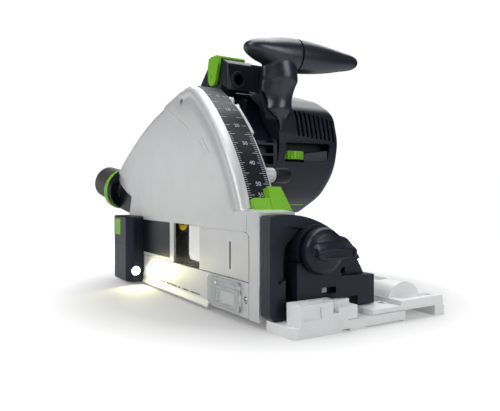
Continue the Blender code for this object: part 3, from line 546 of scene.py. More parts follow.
def read_off(table, value):
    """The result at a value, straight between the rows of a (position, result) table."""
    for (a, low), (b, high) in zip(table, table[1:]):
        if value <= b:
            part = max(0.0, (value - a) / (b - a))
            return low + (high - low) * part
    return table[-1][1]


# How far the cover's face lies behind its flat, by the distance from its edge
SHOULDER = [(0, 6.6), (0.5, 4.6), (1.3, 2.8), (2.3, 1.5), (3.4, 0.6), (4.6, 0.2), (6, 0.2),
            (7.4, 0.65), (9, 1.3), (10.6, 1.45), (12.4, 1.05), (14.6, 0.5), (17, 0.15), (20, 0)]
SOFT_EDGE = [(0, 2.2), (0.4, 1.2), (0.9, 0.6), (1.7, 0.2), (2.8, 0)]
CRISP_EDGE = [(0, 0.5), (0.35, 0.1), (0.7, 0)]


def guard_shell():
    """The cover as one curved sheet: a flat face that rolls over a soft rib to the depth scale."""
    outline = resampled(guard_outline(SEAM_Z + 0.3) + [(232, SEAM_Z + 0.3), (232, 5)], 3.0)
    window = rounded([(83.8, SEAM_Z - 1, 0), (143.6, SEAM_Z - 1, 0),
                      (143.6, 75.4, 0.8), (83.8, 75.4, 0.8)], 2)
    slit = round_box((200.1, 203.1), (41.3, 65.3), 1.49)
    screw_hole = circle(TOP_SCREW, 3.0, 16)
    rim = arc(PIVOT, COVER_RADIUS, RIM_START, RIM_END, 24) + CROWN
    soft = CROWN[-1:] + SLOPE + TAIL + HEEL
    crisp = [(HEEL[-1][0], SEAM_Z), (GUARD_FRONT, SEAM_Z), (GUARD_FRONT, LEDGE_Z), (222, LEDGE_Z)]

    def depth(point):
        radius = math.hypot(point[0] - PIVOT[0], point[1] - PIVOT[1])
        behind = read_off(CRISP_EDGE, edge_distance(point, crisp[:3]))
        if radius > 150 or point[0] > 90:
            above = max(0.0, min(1.0, (point[1] - LEDGE_Z - 0.1) / 0.9))
            behind = max(behind, read_off(SHOULDER, edge_distance(point, rim)) * above)
        return max(behind, read_off(SOFT_EDGE, edge_distance(point, soft)))

    points = list(outline)
    for hole in (slit, screw_hole):
        points += hole
    window_points = [p for p in resampled(window, 4.0) if inside(p, outline)]
    points += window_points
    # Rows along the rim carry its rib; the side that closes the line is left out
    for gap, _ in SHOULDER[1:]:
        for p in resampled(rim + [(100, 100)], 3.4)[:-30]:
            here = Vector(p)
            points.append(tuple(here + (Vector(PIVOT) - here).normalized() * gap))
    for gap, _ in SOFT_EDGE[1:]:
        points += inset(outline, gap)
    points += [(x, LEDGE_Z + rise) for x in range(196, 246, 3) for rise in (0.1, 0.55, 1.0)]
    points += [(-54 + 6 * i + 3 * (k % 2), 38 + 5.4 * k) for i in range(52) for k in range(32)]
    kept = []
    seen = set()
    for i, p in enumerate(points):
        key = (round(p[0] * 2.5), round(p[1] * 2.5))
        boundary = i < len(outline) + len(slit) + len(screw_hole) + len(window_points)
        if boundary or (key not in seen and inside(p, outline) and not inside(p, window)):
            kept.append(p)
            seen.add(key)
    rings, start = [], 0
    for size in (len(outline), len(slit), len(screw_hole)):
        rings += [(start + i, start + (i + 1) % size) for i in range(size)]
        start += size
    verts, _, faces, *_ = geometry.delaunay_2d_cdt([Vector(p) for p in kept], rings, [], 0, 0.01)
    return shell_from(verts, faces, lambda c: inside(c, outline) and not any(
        inside(c, hole) for hole in (window, slit, screw_hole)), depth)


def shell_from(verts, faces, wanted, depth, thick=2.3):
    """A closed sheet from a flat triangulation, whose front lies at the cover's face less its depth."""
    mesh = bmesh.new()
    fronts = [mesh.verts.new((v.x, FACE_Y + depth(tuple(v)), v.y)) for v in verts]
    backs = [mesh.verts.new((f.co.x, f.co.y + thick, f.co.z)) for f in fronts]
    for face in faces:
        if wanted(tuple(sum((verts[i] for i in face), Vector((0, 0))) / len(face))):
            mesh.faces.new([fronts[i] for i in face])
            mesh.faces.new([backs[i] for i in reversed(face)])
    twin = {front: back for front, back in zip(fronts, backs)}
    for edge in [e for e in mesh.edges if len(e.link_faces) == 1 and e.verts[0] in twin]:
        a, b = edge.verts
        mesh.faces.new((a, b, twin[b], twin[a]))
    bmesh.ops.delete(mesh, geom=[v for v in mesh.verts if not v.link_faces], context="VERTS")
    bmesh.ops.recalc_face_normals(mesh, faces=mesh.faces)
    return mesh


def groove(points, width, deep=0.35):
    """A cutter for an engraved line on the cover's face."""
    left = inset_line(points, width / 2)
    right = inset_line(points, -width / 2)
    return prism("y", left + right[::-1], FACE_Y - 1, FACE_Y + deep)


def inset_line(points, distance):
    moved = []
    for i, point in enumerate(points):
        before = Vector(points[max(0, i - 1)])
        after = Vector(points[min(len(points) - 1, i + 1)])
        along = (after - before).normalized()
        moved.append(tuple(Vector(point) + Vector((-along.y, along.x)) * distance))
    return moved


def guard_screw(node, place, y, shank, seat, radius):
    """A screw that faces outwards: its shank, its head from the seat up, and a round socket."""
    profile = [(shank, 1.4), (seat, 1.4), (seat, radius), (3.6, radius + 0.1), (4.2, 2.0),
               (4.2, 1.2), (3, 1.15), (3, 0)]
    made = lathe((place[0], y, place[1]), (0, -1, 0), profile, 28)
    piece(node + "_head", "bevel_unit", "steel", made, [node], bevel=0, angle=35)


def guard_cover():
    """The cover with its engraved lines, the label's dark plate, the screws and the edge band."""
    notch_line = [(61, 197.3), (69, 194), (77.2, 190.3), (89, 184.8), (100.2, 179),
                  (111, 173.5), (121.6, 167.2)]
    arrow = arc(PIVOT, 221, 46.5, 40.5, 8)
    lines = [
        groove(notch_line, 0.7),
        groove([(p[0] - 4, p[1] - 12) for p in arrow], 0.6),
        groove([(p[0] - 9, p[1] - 15) for p in arrow], 0.6),
        groove([(149, 74.3), (226, 74.3)], 0.9),
        groove(arc((226.2, 68.5), 5.8, 90, 0, 8) + [(232, SEAM_Z + 1)], 1.2, 0.9),
        groove([(228.5, 76), (228.5, 89)], 0.6),
    ]
    made = carve(guard_shell(), cut=lines)
    piece("guard_cover_shell", "bevel_unit", "silver", made, ["guard_cover"], bevel=0, angle=38)
    plate = prism("y", round_box((-3.5, 73.8), (37.8, 75.3), 1, 3), FACE_Y - 0.12, FACE_Y + 0.3)
    piece("label_plate", "bevel_unit", "black", plate, bevel=0.06)
    guard_screw("guard_top_screw", TOP_SCREW, FACE_Y + 4.7, -4, 2.2, 2.3)
    guard_screw("guard_front_screw", FRONT_SCREW, -10.2, -1, 1.9, 2.45)
    outside = guard_outline(5)
    edge = carve(prism("y", inset(outside, 0.5), -11.7, 20.5), cut=[
        prism("y", inset(outside, 3.0), -30, 40),
        prism("y", band(PIVOT, SCALE_RADIUS - 2.4, 260, 20.4, 58.9, 20), -30, 40),
        box((-52, 242), (-30, 40), (0, 33)),
    ])
    piece("guard_edge_band", "bevel_unit", "silver", edge, bevel=0.5)


def skirt():
    """The strip along the bottom, with its splayed lip and the slits above it."""
    profile = [(-14, 34.0), (-11.7, 34.0), (-11.7, 7.5), (-13.6, 3.4), (-16.4, 2.0), (-16.6, 3.4),
               (-14.9, 6.6), (-14, 9.6)]
    short = [(-14, 34.0), (-11.7, 34.0), (-11.7, 5.2), (-14, 5.2)]
    add = [prism("x", short, 158, 231.4)]
    slits = ((46, 14), (64, 26), (95, 5), (106, 12), (124, 20))
    cut = [box((x, x + long), (-20, -10), (9.9, 11.2)) for x, long in slits]
    cut.append(cylinder("y", FRONT_SCREW, 3.0, -20, -5, 20))
    made = carve(prism("x", profile, -2.3, 163.8), add, cut)
    piece("skirt_with_lip", "bevel_unit", "silver", made, ["skirt_panel"], bevel=0.35)


# ---- depth scale
BLADE_RADIUS = 80.0
SWING = math.hypot(BLADE_CENTRE[0] - PIVOT[0], BLADE_CENTRE[1] - PIVOT[1])
SWING_START = math.degrees(math.atan2(BLADE_CENTRE[1] - PIVOT[1], BLADE_CENTRE[0] - PIVOT[0]))
SCALE_TOP = 54.45


def depth_angle(depth):
    """Where a cutting depth is on the scale, from how far the blade has to swing down for it."""
    swing = SWING_START - math.degrees(math.asin((BLADE_RADIUS - PIVOT[1] - depth) / SWING))
    return SCALE_TOP - swing


def scale_marks():
    """Raised ticks on both edges of the scale: every 5 mm, and from 24 mm on every millimetre."""
    low, high = span("depth_scale")[0].y, span("depth_scale")[1].y
    shapes = []
    for depth in range(0, 57):
        fine = depth % 5 != 0
        if fine and depth < 24:
            continue
        length = 3.0 if fine else (6.5 if depth % 10 else 5.4)
        start, end = depth_angle(depth) - 0.055, depth_angle(depth) + 0.055
        tick = band(PIVOT, SCALE_RADIUS - 0.05, SCALE_RADIUS + 0.08, start, end, 1)
        shapes.append(prism("y", tick, low + 0.7, low + 0.7 + length))
        shapes.append(prism("y", tick, high - 0.9 - length, high - 0.9))
    piece("scale_ticks", "bevel_unit", "white_mark", joined(shapes), bevel=0)


def scale_number(depth):
    """A number wrapped on the scale."""
    curve = bpy.data.curves.new("number", "FONT")
    curve.body = str(depth)
    curve.align_x, curve.align_y = "CENTER", "CENTER"
    curve.size = 5.6
    curve.extrude = 0.04
    curve.offset = 0.06
    mesh = settle(placed("number", curve))
    bmesh.ops.subdivide_edges(mesh, edges=mesh.edges, cuts=1)
    middle = depth_angle(depth)
    for vert in mesh.verts:
        across, along, out = vert.co
        angle = math.radians(middle) + along / SCALE_RADIUS
        radius = SCALE_RADIUS + 0.05 + out
        vert.co = (PIVOT[0] + radius * math.cos(angle), 8.6 + across, PIVOT[1] + radius * math.sin(angle))
    return mesh


def depth_scale():
    scale_marks()
    numbers = joined([scale_number(depth) for depth in (0, 10, 20, 30, 40, 50, 55)])
    piece("scale_numbers", "bevel_unit", "white_mark", numbers, bevel=0)


# ---- front handle
GRIP_X = 160.0
# Along the bar, from its nose to its tip: place, half width forward, centre height, half height
HEAD = [(26.4, 1.6, 245.8, 1.3), (27.2, 5.2, 245.6, 3.3), (29.4, 8.6, 245.2, 5.2),
        (33.6, 11.2, 244.6, 7.4), (40, 13.4, 243.8, 9.9), (49, 15, 243.0, 12.0), (58, 16, 242.6, 14.6),
        (67, 16.5, 242.4, 16.2), (76, 16.7, 242.6, 16.8), (83.9, 16.8, 242.8, 16.8)]
GRIP = [(84.3, 16.8, 242.8, 16.8), (92, 16.6, 243.0, 16.5), (104, 15.9, 243.3, 15.6),
        (117, 14.7, 243.7, 14.2), (130, 13.1, 244.2, 12.4), (142, 11.2, 244.8, 10.3),
        (152, 9.9, 245.3, 8.9), (159, 8.2, 245.6, 7.3), (163.4, 5.9, 245.8, 5.3),
        (165.5, 3.4, 245.9, 3.1), (166.1, 1.2, 246, 1.1)]
# Up the neck: height, middle in x and y, half widths in x and y
NECK = [(160, 138, 66.5, 20.6, 13), (172, 139, 67, 20.6, 15), (181, 140, 68, 20.8, 17.6),
        (186, 142, 68.6, 21.4, 18.8), (189.5, 143.4, 69, 21.4, 19), (192.5, 144.8, 69.2, 20, 17.6),
        (198, 146.5, 69.4, 18.6, 16.4), (205, 149, 69.5, 18.2, 16.2), (212, 151.5, 69.5, 19, 17.2),
        (216, 153, 69.5, 20.2, 18.4), (220, 154.5, 69.2, 19.4, 18), (226, 156, 68, 18.2, 17.6),
        (236, 159, 66, 15, 17)]


def bar(sections, sides=48):
    """A rounded bar through elliptical sections."""
    rings = []
    for y, half_x, z, half_z in sections:
        rings.append([(GRIP_X + half_x * math.cos(t), y, z + half_z * math.sin(t))
                      for t in (2 * math.pi * i / sides for i in range(sides))])
    return skin(rings)


def smooth_sections(sections, count):
    """More sections, on a smooth curve through the given ones."""
    found = []
    last = len(sections) - 1
    for i in range(last):
        p0, p1, p2, p3 = (Vector(sections[min(max(k, 0), last)]) for k in (i - 1, i, i + 1, i + 2))
        for k in range(count):
            t = k / count
            found.append(tuple(0.5 * (2 * p1 + (p2 - p0) * t + (2 * p0 - 5 * p1 + 4 * p2 - p3) * t * t
                                      + (3 * p1 - p0 - 3 * p2 + p3) * t ** 3)))
    return found + [sections[-1]]


def neck(sides=48):
    """The upright of the handle, with two soft swellings. It leans forward."""
    rings = []
    for z, x, y, half_x, half_y in smooth_sections(NECK, 3):
        rings.append([(x + half_x * math.cos(t), y + half_y * math.sin(t), z)
                      for t in (2 * math.pi * i / sides for i in range(sides))])
    return skin(rings)


def front_column():
    """The upright between the handle's collar and the louvres."""
    column = prism("y", [(120, 190), (120, 205.1), (149.2, 205.1), (158.9, 178.6), (150, 178)], 50.8, 66.2)
    case = [(128, 204.9), (156.6, 184.2), (158.2, 180), (158.2, 100), (60, 100), (60, 204.9)]
    made = carve(column, cut=[prism("y", case, 20, 80)])
    piece("front_column", "motor_unit", "anthracite", made, bevel=0.3)


def front_handle():
    """The head with its neck, and the sleeve on the bar behind it."""
    cut = [prism("y", [(40, 100), (166, 100), (160, 176), (150, 205.4), (40, 205.4)], 20, 66.3)]
    cut.append(prism("y", inset(MOTOR_SIDE, -0.3), 60, 120))
    core = blended(bar(smooth_sections(HEAD, 4)), 1.1, 10, [neck()], cut)
    piece("front_handle_head", "motor_unit", "satin", core, ["front_handle_core"], bevel=0, angle=60)
    grip = bar(smooth_sections(GRIP, 4))
    piece("front_handle_sleeve", "motor_unit", "satin", grip, ["front_handle_grip"], bevel=0, angle=60)


# ---- motor
MOTOR_SIDE = rounded(
    [(126, 207, 60), (152, 192, 24), (160, 160, 40), (154.5, 128, 60), (130, 101, 60), (92, 82.4, 16),
     (54, 90, 14), (34, 116, 16), (34, 196, 14), (62, 217.8, 8), (92, 217.6, 40)], 8)
# How far the casing's outline shrinks on its way to the round end: y, shrink
MOTOR_END = [(134, 0), (138.5, 0.3), (141, 1.4), (143.6, 3), (145.7, 5.6), (147.2, 9.5)]


def motor_shell():
    """The motor's casing, with vents, the recess for the dial, and a well-rounded end."""
    low, high = span("motor_housing")[0].y, span("motor_end_cap")[1].y
    rings = [[(a, y, b) for a, b in inset(MOTOR_SIDE, shrink)]
             for y, shrink in [(low, 0)] + MOTOR_END + [(high, 14)]]
    cut = [prism("y", inset(MOTOR_SIDE, 3.5), low + 4, 138),
           cylinder("y", (93, 136.88), 13, low - 5, low + 10)]
    for i in range(9):
        y = 91.2 + 5.65 * i
        top, bottom = 191.8 - 1.05 * i, 164.2 - 0.5 * i
        outline = rounded([(y - 1.5, top, 0.6), (y + 1.1, top - 0.4, 0.6),
                           (y + 1.1, bottom - 0.3, 0.6), (y - 1.5, bottom, 0.6)], 2)
        cut.append(prism("x", outline, 135, 170))
    recess = rounded([(75, 139, 1), (130, 139.6, 3), (132, 157.6, 3), (75, 156.6, 1)], 4)
    cut.append(prism("x", recess, 149.5, 175))
    cut.append(cylinder("z", (148, 87.5), 14.4, 137.6, 149.2))
    wedge = skin([[(148, 101, 139.4), (148, 131.5, 140.2), (148, 131.5, 151.4), (148, 101, 147.4)],
                  [(151.5, 103, 139.4), (155.6, 130.5, 140.2), (155.6, 130.5, 150.6), (151.5, 103, 146.8)]])
    made = carve(carve(skin(rings), cut=cut), add=[wedge])
    piece("motor_casing", "motor_unit", "anthracite", made, ["motor_housing", "motor_end_cap"], bevel=0.5)
    liner = carve(box((145.4, 146.6), (72, 134), (137.6, 159.5)),
                  cut=[box((140, 150), (73, 102.4), (139, 149.2))])
    piece("dial_recess_floor", "motor_unit", "black", liner, bevel=0)
    line = prism("y", band_along(inset(MOTOR_SIDE, -0.1), 92.6, 93.5), 75, 131)
    piece("motor_accent_line", "motor_unit", "green", line, bevel=0)


def band_along(outline, low, high):
    """The strip of an outline's front lower face between two heights."""
    front = [p for p in outline if low - 8 < p[1] < high + 8 and p[0] > 90]
    front.sort(key=lambda p: p[1])
    ends = []
    for z in (low, high):
        for (ax, az), (bx, bz) in zip(front, front[1:]):
            if az <= z <= bz:
                ends.append((ax + (bx - ax) * (z - az) / (bz - az), z))
                break
    (ax, az), (bx, bz) = ends
    return [(ax, az), (bx, bz), (bx - 0.9, bz + 0.2), (ax - 0.9, az + 0.2)]


# ---- inside the window
def window_parts():
    """The pale plate and the yellow flange seen through the cover's window."""
    plate = prism("y", rounded([(115, 41, 6), (166, 41, 0), (166, 84, 0), (115, 84, 0)], 6), -11.2, -10.2)
    piece("window_plate", "bevel_unit", "base_alloy", plate, ["inner_cover_plate"], bevel=0.2)
    x, z = BLADE_CENTRE
    cap = ring("y", (x, z), 8.2, 13.4, -6.6, -5.9)
    piece("flange_ring", "spindle", "yellow", cap, bevel=0.2)


# ---- on the rim
def stop_and_buffer():
    """The green depth stop, the rubber buffer on its lug, and the boss, strip and pin higher up."""
    low, high = SCALE_RADIUS + 0.4, SCALE_RADIUS + 7.5
    bar_side = arc(PIVOT, low, 20.5, 22.5, 3) + arc(PIVOT, high, 22.3, 21, 2) + [(228.4, 91.8), (220.4, 91.8)]
    bar = prism("y", bar_side, -4.6, 14)
    side = arc(PIVOT, low, 20.5, 24.9, 4) + arc(PIVOT, high + 0.8, 24.6, 21, 4)
    side += [(229.6, 91.2), (220.4, 91.2)]
    arm = skin([[(a, 11.2, b) for a, b in side], [(a, 24.5 - (b - 111) * 0.3, b) for a, b in side]])
    piece("depth_stop_slider", "depth_stop", "green", carve(bar, [arm]), ["depth_stop"], bevel=0.7)
    x, z = BUFFER
    sleeve = lathe((x, 33.6, z), (0, 1, 0), [(0, 6.2), (0.6, 7.0), (14.2, 7.2), (15.4, 6.6), (15.7, 5)], 36)
    piece("buffer_sleeve", "bevel_unit", "black", sleeve, ["stop_buffer"], bevel=0)
    lug = lathe((x, 23.3, z), (0, 1, 0), [(0, 6.8), (9.4, 6.6), (10, 6.0)], 36)
    piece("buffer_lug", "bevel_unit", "silver", lug, bevel=0.3)
    x, z = at_angle(230.6, 53.7)
    boss = lathe((x, 20.6, z), (0, 1, 0), [(0, 4.2), (5, 4.0), (6.4, 2.6)], 28)
    piece("rim_boss", "bevel_unit", "silver", boss, bevel=0.3)
    strip = prism("y", band(PIVOT, 230.4, 235.2, 39.8, 50.2, 16), 20.8, 23.6)
    x, z = at_angle(232.2, 50.6)
    pin = lathe((x, 21, z), (0, 1, 0), [(0, 1.5), (3.6, 1.5), (3.8, 2.3), (5.2, 2.3), (5.6, 1.7)], 20)
    piece("rim_strip", "bevel_unit", "silver", joined([strip, pin]), bevel=0.2, segments=1)


# ---- lamp unit
LAMP_AXIS = (-23.5, 15.5)


def lamp_unit():
    outline = rounded([(-56, -33, 2.5), (-12, -33, 7), (-3, -28, 4), (-3, -14.4, 0.5), (-56, -14.4, 0.5)], 5)
    rings = [[(a, b, z) for a, b in inset(outline, shrink)] for z, shrink in
             ((2, 2.0), (2.6, 0.9), (4, 0), (77.4, 0), (78.5, 0.7), (79, 1.8))]
    cut = [
        cylinder("x", LAMP_AXIS, 6.8, -9, 10),
        box((-50, -30), (-40, -31.8), (56, 75.5)),
        box((-56.5, -2), (-33.5, -32.6), (46.6, 47.2)),
    ]
    housing = carve(skin(rings), cut=cut)
    piece("lamp_housing", "bevel_unit", "anthracite", housing, ["led_housing"], bevel=0.25)
    bezel = ring("x", LAMP_AXIS, 5.2, 6.7, -8.6, -2.8)
    piece("lamp_bezel", "bevel_unit", "black", bezel, bevel=0.2)
    profile = [(0, 5.1), (4.4, 5.1), (5.6, 4.0), (6.2, 1.6), (6.3, 0)]
    lens = lathe((-8.6, *LAMP_AXIS), (1, 0, 0), profile, 32)
    piece("lamp_lens", "bevel_unit", "lamp", lens, ["led_lens"], bevel=0)


def lamp_light():
    """The lamp's own beam, forward along the skirt and down on the floor."""
    data = bpy.data.lights.new("lamp_beam", "SPOT")
    data.energy = 0.24
    data.color = (1.0, 1.0, 0.48)
    data.spot_size = math.radians(150)
    data.spot_blend = 0.8
    data.shadow_soft_size = 0.015
    obj = placed("lamp_beam", data)
    obj.location = ORIGIN + Vector((-0.5, *LAMP_AXIS)) * MM
    obj.rotation_euler = Vector((1.0, -0.3, -0.22)).to_track_quat("-Z", "Y").to_euler()
    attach(obj, "bevel_unit")


# ---- rear handle and hood
GRIP_OUTER = rounded(
    [(59, 205.4, 0), (90, 205.4, 0), (90, 232, 4), (84, 236, 5), (62, 225, 8),
     (20, 215, 20), (-56, 199, 24), (-104, 178, 26), (-112, 134, 20), (-88, 93, 14), (-50, 91, 16),
     (2, 103, 14), (59, 120, 0)], 8)
GRIP_INNER = rounded(
    [(45, 188, 6), (20, 186, 10), (-50, 170, 14), (-82, 154, 12), (-84, 130, 10), (-62, 112, 10),
     (0, 126, 10), (45, 140, 8)], 8)
HOOD = [(59, 205.6), (61, 226), (82.5, 245.2), (106, 245.2), (117.2, 239), (118.6, 222), (119, 205.6)]


def handle_body():
    """The closed grip, rounded all round, with the hood at its front."""
    parts = []
    for low, high, shrink in ((31, 62, 7), (32.4, 60.6, 3.6), (34.6, 58.4, 1.4), (38, 55, 0)):
        opening = prism("y", inset(GRIP_INNER, -shrink), low - 1, high + 1)
        parts.append(carve(prism("y", inset(GRIP_OUTER, shrink), low, high), cut=[opening]))
    hood = prism("y", HOOD, 31, 66)
    cheek = prism("y", [(59.5, 205.6), (61, 225), (78.6, 240.6), (78.6, 205.6)], 27.8, 33)
    bridge = box((92, 117.2), (60, 78), (219.4, 241))
    gusset = box((104, 117.2), (58, 77), (207, 221))
    saddle = prism("y", [(96, 205.6), (112, 213), (124, 208.5), (132, 204.6)], 34, 66)
    return blended(parts[0], 1.1, 9, parts[1:] + [hood, cheek, bridge, gusset, saddle])


def rear_handle():
    """The two halves of the grip and hood, with room for the parts inside and beside them."""
    reach = math.hypot(BUFFER[0] - PIVOT[0], BUFFER[1] - PIVOT[1])
    pad_room = [(-20, 208.6), (-56, 201.2), (-92, 185.6), (-107, 168), (-110, 145), (-114, 145),
                (-118, 200), (-20, 222)]
    shared = [
        prism("y", [(2, 190.5), (38, 190.5), (38, 209), (2, 206)], 36, 57),
        prism("y", [(8, 170), (44, 170), (44, 196), (8, 196)], 38.4, 54.6),
        prism("y", [(62, 218), (82, 218), (82, 260), (50, 260)], 41.4, 51.6),
        prism("y", pad_room, 20, 80),
        prism("y", band(PIVOT, reach - 8.4, reach + 8.4, 26, 63.2, 20), 20, 56),
        cylinder("x", (43.5, 222), 5.5, 96, 130),
        box((79, 107), (26, 31.1), (214, 256)),
        prism("y", [(56, 206), (50, 112), (200, 60), (200, 206)], 61.9, 90),
    ]
    whole = handle_body()
    for name, removed in (("handle_left", (46.35, 100)), ("handle_right", (0, 46.65))):
        away = box((-200, 250), removed, (0, 300))
        half = carve(whole.copy(), cut=[cutter.copy() for cutter in shared] + [away])
        piece(name, "motor_unit", "anthracite", half, ["rear_" + name], bevel=0, angle=40)
    eyelet = ring("x", (43.5, 222), 5.6, 8.8, 117.2, 119.9, 36)
    piece("hood_eyelet", "motor_unit", "anthracite", eyelet, bevel=0.5)
    pad_soft()


def pad_soft():
    """The soft pad on the back of the grip, with fine grooves across it."""
    soft = [(-21, 209.4), (-56.2, 202.0), (-92.4, 186.3), (-107.4, 168.4), (-110.4, 147), (-113.6, 148)]
    soft += [(-112.2, 172), (-95, 191.5), (-57, 206), (-21, 214.2)]
    levels = ((33.5, 59.5, 1.2), (34.6, 58.4, 0.5), (36, 57, 0))
    parts = [prism("y", inset(soft, shrink), low, high) for low, high, shrink in levels]
    made = carve(blended(parts[0], 0.8, 6, parts[1:]), cut=[
        prism("y", [(x - 0.4, z + 3), (x + 0.4, z + 3), (x + 0.2, z - 0.9), (x - 0.2, z - 0.9)], 36, 57)
        for x, z in [(-26 - 6 * i, 213.2 - 1.36 * i - 0.06 * i * i) for i in range(10)]])
    piece("grip_pad", "motor_unit", "rubber", made, ["rear_grip_pad"], bevel=0, angle=35)


def lever():
    """The green release lever: a tongue on the hood's side and a strip over its top."""
    tongue = rounded([(80.8, 241, 0), (81.6, 228, 4), (83.4, 219.4, 7), (97.4, 219.4, 7),
                      (99.4, 228, 4), (104.6, 241, 0)], 5)
    top = rounded([(84.6, 245.8, 1.2), (104.2, 245.8, 1), (103.6, 249.2, 2), (84.8, 250.2, 3)], 4)
    joint = [(80.8, 240.6), (104.6, 240.6), (104, 248), (83, 249)]
    dimple = lathe((90.4, 26.9, 227), (0, 1, 0), [(-2, 5.2), (1.4, 3.4), (2.2, 0)], 28)
    add = [prism("y", top, 27.4, 60), prism("y", joint, 27.4, 30.7)]
    made = carve(prism("y", tongue, 27.4, 30.7), add, [dimple])
    piece("change_lever", "lever", "green", made, ["tool_lever"], bevel=0.6)


# ---- front unit
# The line of the front and rear clamp bolts (y, z)
CLAMP_AXIS = (28, 61)


def front_segment():
    """The front bracket: pillar and arched band, a deep recess inside them, and the stepped plate."""
    back = 249.4
    outside = arc((0, 0), 89.4, 25, 98.6, 24) + [(-14, 84), (-14, 12), (-10, 8.7), (5, 8.7), (18, 11)]
    outside += [(18, 21.4), (69.3, 21.4), (69.3, 13.6), (87.4, 13.6), (87.4, 38)]
    body = prism("x", outside, back, 261.9)
    mouth = [(0.6, 12.5), (0.6, 55)] + arc((14, 58), 13.2, 176, 92, 8) + arc((0, 0), 72.6, 78, 62, 6)
    mouth += [(38.6, 51.5), (7, 51.5), (7, 12.5)]
    scoop = arc((5.4, 62.4), 17.4, 178, 86, 12) + arc((0, 0), 80.0, 79, 62, 8) + [(28, 56), (9, 44), (-6, 36)]
    hollow = [prism("x", scoop, 258.6, 264.7), prism("x", mouth, 252.4, 290)]
    plate = [(7, 15), (38, 22), (69, 22), (69, 13.8), (87.2, 13.8), (87.2, 38.2), (54, 39.4)]
    plate += arc((54, 43), 3.6, 270, 90, 8) + [(74, 46.8)] + arc((0, 0), 88.6, 33, 43, 6)
    plate += [(52, 52), (7, 52)]
    add = [
        prism("x", plate, 252, 267.8),
        cylinder("x", CLAMP_AXIS, 20.6, 252, 266.6, 48),
    ]
    cut = [
        cylinder("x", CLAMP_AXIS, 4.6, 200, 320, 24),
        prism("x", round_box((31, 45.6), (26.3, 31.6), 1.2, 4), 262, 280),
        prism("x", [(51, 39.6), (88, 38.3), (88, 60), (57, 47)], 263, 290),
        box((256.4, 266), (52.5, 60), (40.4, 45.8)),
        cylinder("y", (258, 26), 1.9, 80, 100),
    ]
    made = carve(carve(body, cut=hollow), add, cut)
    piece("front_bracket", "base", "anthracite", made, ["front_segment"], bevel=0.7)
    flag = box((262.2, 264.6), (31.6, 38.6), (26.8, 31))
    piece("angle_flag", "base", "white_mark", flag, bevel=0.3)


def clamp_knob(name, body, start, outward, node):
    """A round clamp knob whose upper half rises into a thumb wing with a flat face."""
    y, z = CLAMP_AXIS
    profile = [(0, 17.6), (0.8, 18.4), (5.4, 18.4), (8.2, 17.4), (10.6, 13.5), (11.8, 6), (12, 0)]
    dome = lathe((start, y, z), (outward, 0, 0), profile, 56)
    side = [(2, -6.4), (15.6, -6.2), (16.8, -5), (17, 1.6), (16, 3.4), (11, 8.5), (6.4, 14.6), (2, 16.6)]
    heights = ((-13.5, 0.55), (-10.5, 0.82), (-4, 1), (6, 1), (13, 0.9), (17, 0.72), (23.4, 0.62), (24, 0.5))
    wing = [[(start + outward * a, y + along, z + b * tall) for a, b in side] for along, tall in heights]
    made = blended(dome, 0.75, 4, [skin(wing)])
    label = box(sorted((start + outward * 15.9, start + outward * 22)), (y - 5, y + 21), (z - 3.8, z + 0.8))
    bore = cylinder("x", (y, z), 4.3, *sorted((start - outward * 5, start + outward * 8.6)), 24)
    made = carve(made, cut=[label, bore])
    piece(name, body, "anthracite", made, [node], bevel=0, angle=32)


def knobs():
    clamp_knob("front_clamp_knob", "front_knob", 268.4, 1, "front_lock_knob")
    clamp_knob("rear_clamp_knob", "rear_knob", -64.4, -1, "rear_lock_knob")


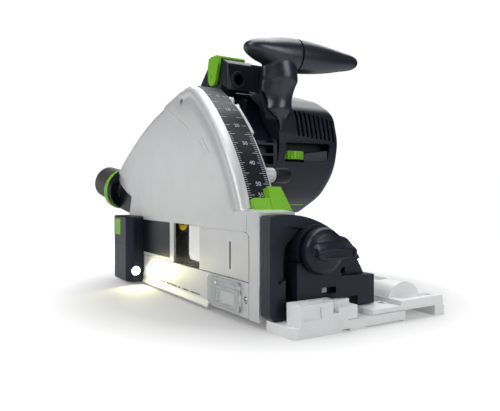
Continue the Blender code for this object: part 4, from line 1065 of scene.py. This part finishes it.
# ---- base
def base():
    """The sole with its upstand, rail channel, half-round tunnels, pockets, ribs and small holes."""
    low_x, high_x = span("base_plate")[0].x, span("base_plate")[1].x
    low_y, high_y = 24.5, 155.0
    groove = [(105, -5), (142, -5), (142, 8), (141, 9), (106, 9), (105, 8)]
    tunnel = arc((120, 8), 21.2, 0, 180, 28) + [(98.8, 4), (141.2, 4)]
    plan = rounded([(low_x, low_y, 4), (249, low_y, 0), (249, -10, 3), (high_x, -10, 5),
                    (high_x, high_y, 2), (low_x, high_y, 4)], 5)
    flat = prism("z", plan, 0, 8)
    add = [
        box((low_x, high_x), (100, 152), (2, 17)),
        box((269.3, 285.9), (-4, 34), (2, 24.2)),
        box((269.3, 285.9), (33, 51.6), (2, 19.4)),
        box((275, 278), (34, 50), (15, 23.2)),
        box((262, 285.9), (68, 101), (2, 13)),
        prism("x", tunnel, 166, 271),
        prism("x", tunnel, -56, 36),
        box((low_x + 1, 240), (25.2, 27.6), (6, 10.4)),
    ]
    cut = [
        box((-14, 172), (20, 66), (-5, 40)),
        prism("x", groove, low_x - 5, high_x + 5),
        box((200, 256), (141.6, 149.4), (11, 25)),
        box((-46, 150), (141.6, 149.4), (11, 25)),
        box((44, 152), (106, 136), (11.6, 40)),
        box((272, 280), (108, 147), (13, 25)),
        box((180, 236), (40, 62), (5, 12)),
        box((180, 236), (72, 96), (5, 12)),
        box((187, 229), (64.4, 69.6), (5, 12)),
        cylinder("z", (268, 95), 3.2, 6, 20, 24),
        box((284.6, 290), (-0.5, 16), (12.5, 21.5)),
        box((284.4, 290), (42, 104.4), (8.6, 9.6)),
        box((281, 290), (36, 44), (-2, 2.2)),
        box((283, 290), (60, 102), (-2, 1.4)),
        box((273, 283), (5, 29), (21.6, 30)),
        box((280, 290), (27, 33), (15, 30)),
        prism("y", plunged(inset(MOTOR_SIDE, -1.0)), 64, 153),
    ]
    for x in (205, -15):
        recess = round_box((x - 17, x + 17), (110.4, 129.6), 8, 8)
        cut.append(prism("z", recess, 12, 60))
        cut.append(cylinder("z", (x, 120), 5.6, 5, 20, 28))
    window = round_box((229, 252), (112.5, 127.5), 7, 8)
    cut.append(prism("z", window, 21, 60))
    ribs = [box((x, x + 2.4), (141, 150), (10, 15.4)) for x in (214, 236, -20, 16, 52, 88, 124)]
    ribs += [box((x, x + 2), (105.6, 136.4), (10, 14.6)) for x in (70, 96, 122)]
    ribs += [box((x, x + 2), (71, 97), (4.4, 7.4)) for x in (198, 216)]
    made = carve(carve(flat, add, cut), ribs)
    piece("sole", "base", "base_alloy", made, ["base_plate"], bevel=0.45)


# ---- dust outlet
def dust_parts():
    """The green ring round the outlet."""
    start = Vector((-99.6, -1, 111))
    axis = (Vector((-142, -14, 122)) - start).normalized()
    place = start + axis * 8.4 + Vector((0, 0, -2.6))
    profile = [(0, 17), (0, 25.4), (1, 26.0), (7, 26.0), (8, 25.4), (8, 17)]
    collar = lathe(place, axis, profile, 48, hollow=True)
    piece("outlet_ring", "bevel_unit", "green", collar, ["dust_collar"], bevel=0.4)


camera()
studio()
floor()
dress_nodes()
guard_cover()
skirt()
window_parts()
depth_scale()
stop_and_buffer()
lamp_unit()
lamp_light()
front_column()
front_handle()
motor_shell()
rear_handle()
lever()
front_segment()
knobs()
base()
dust_parts()
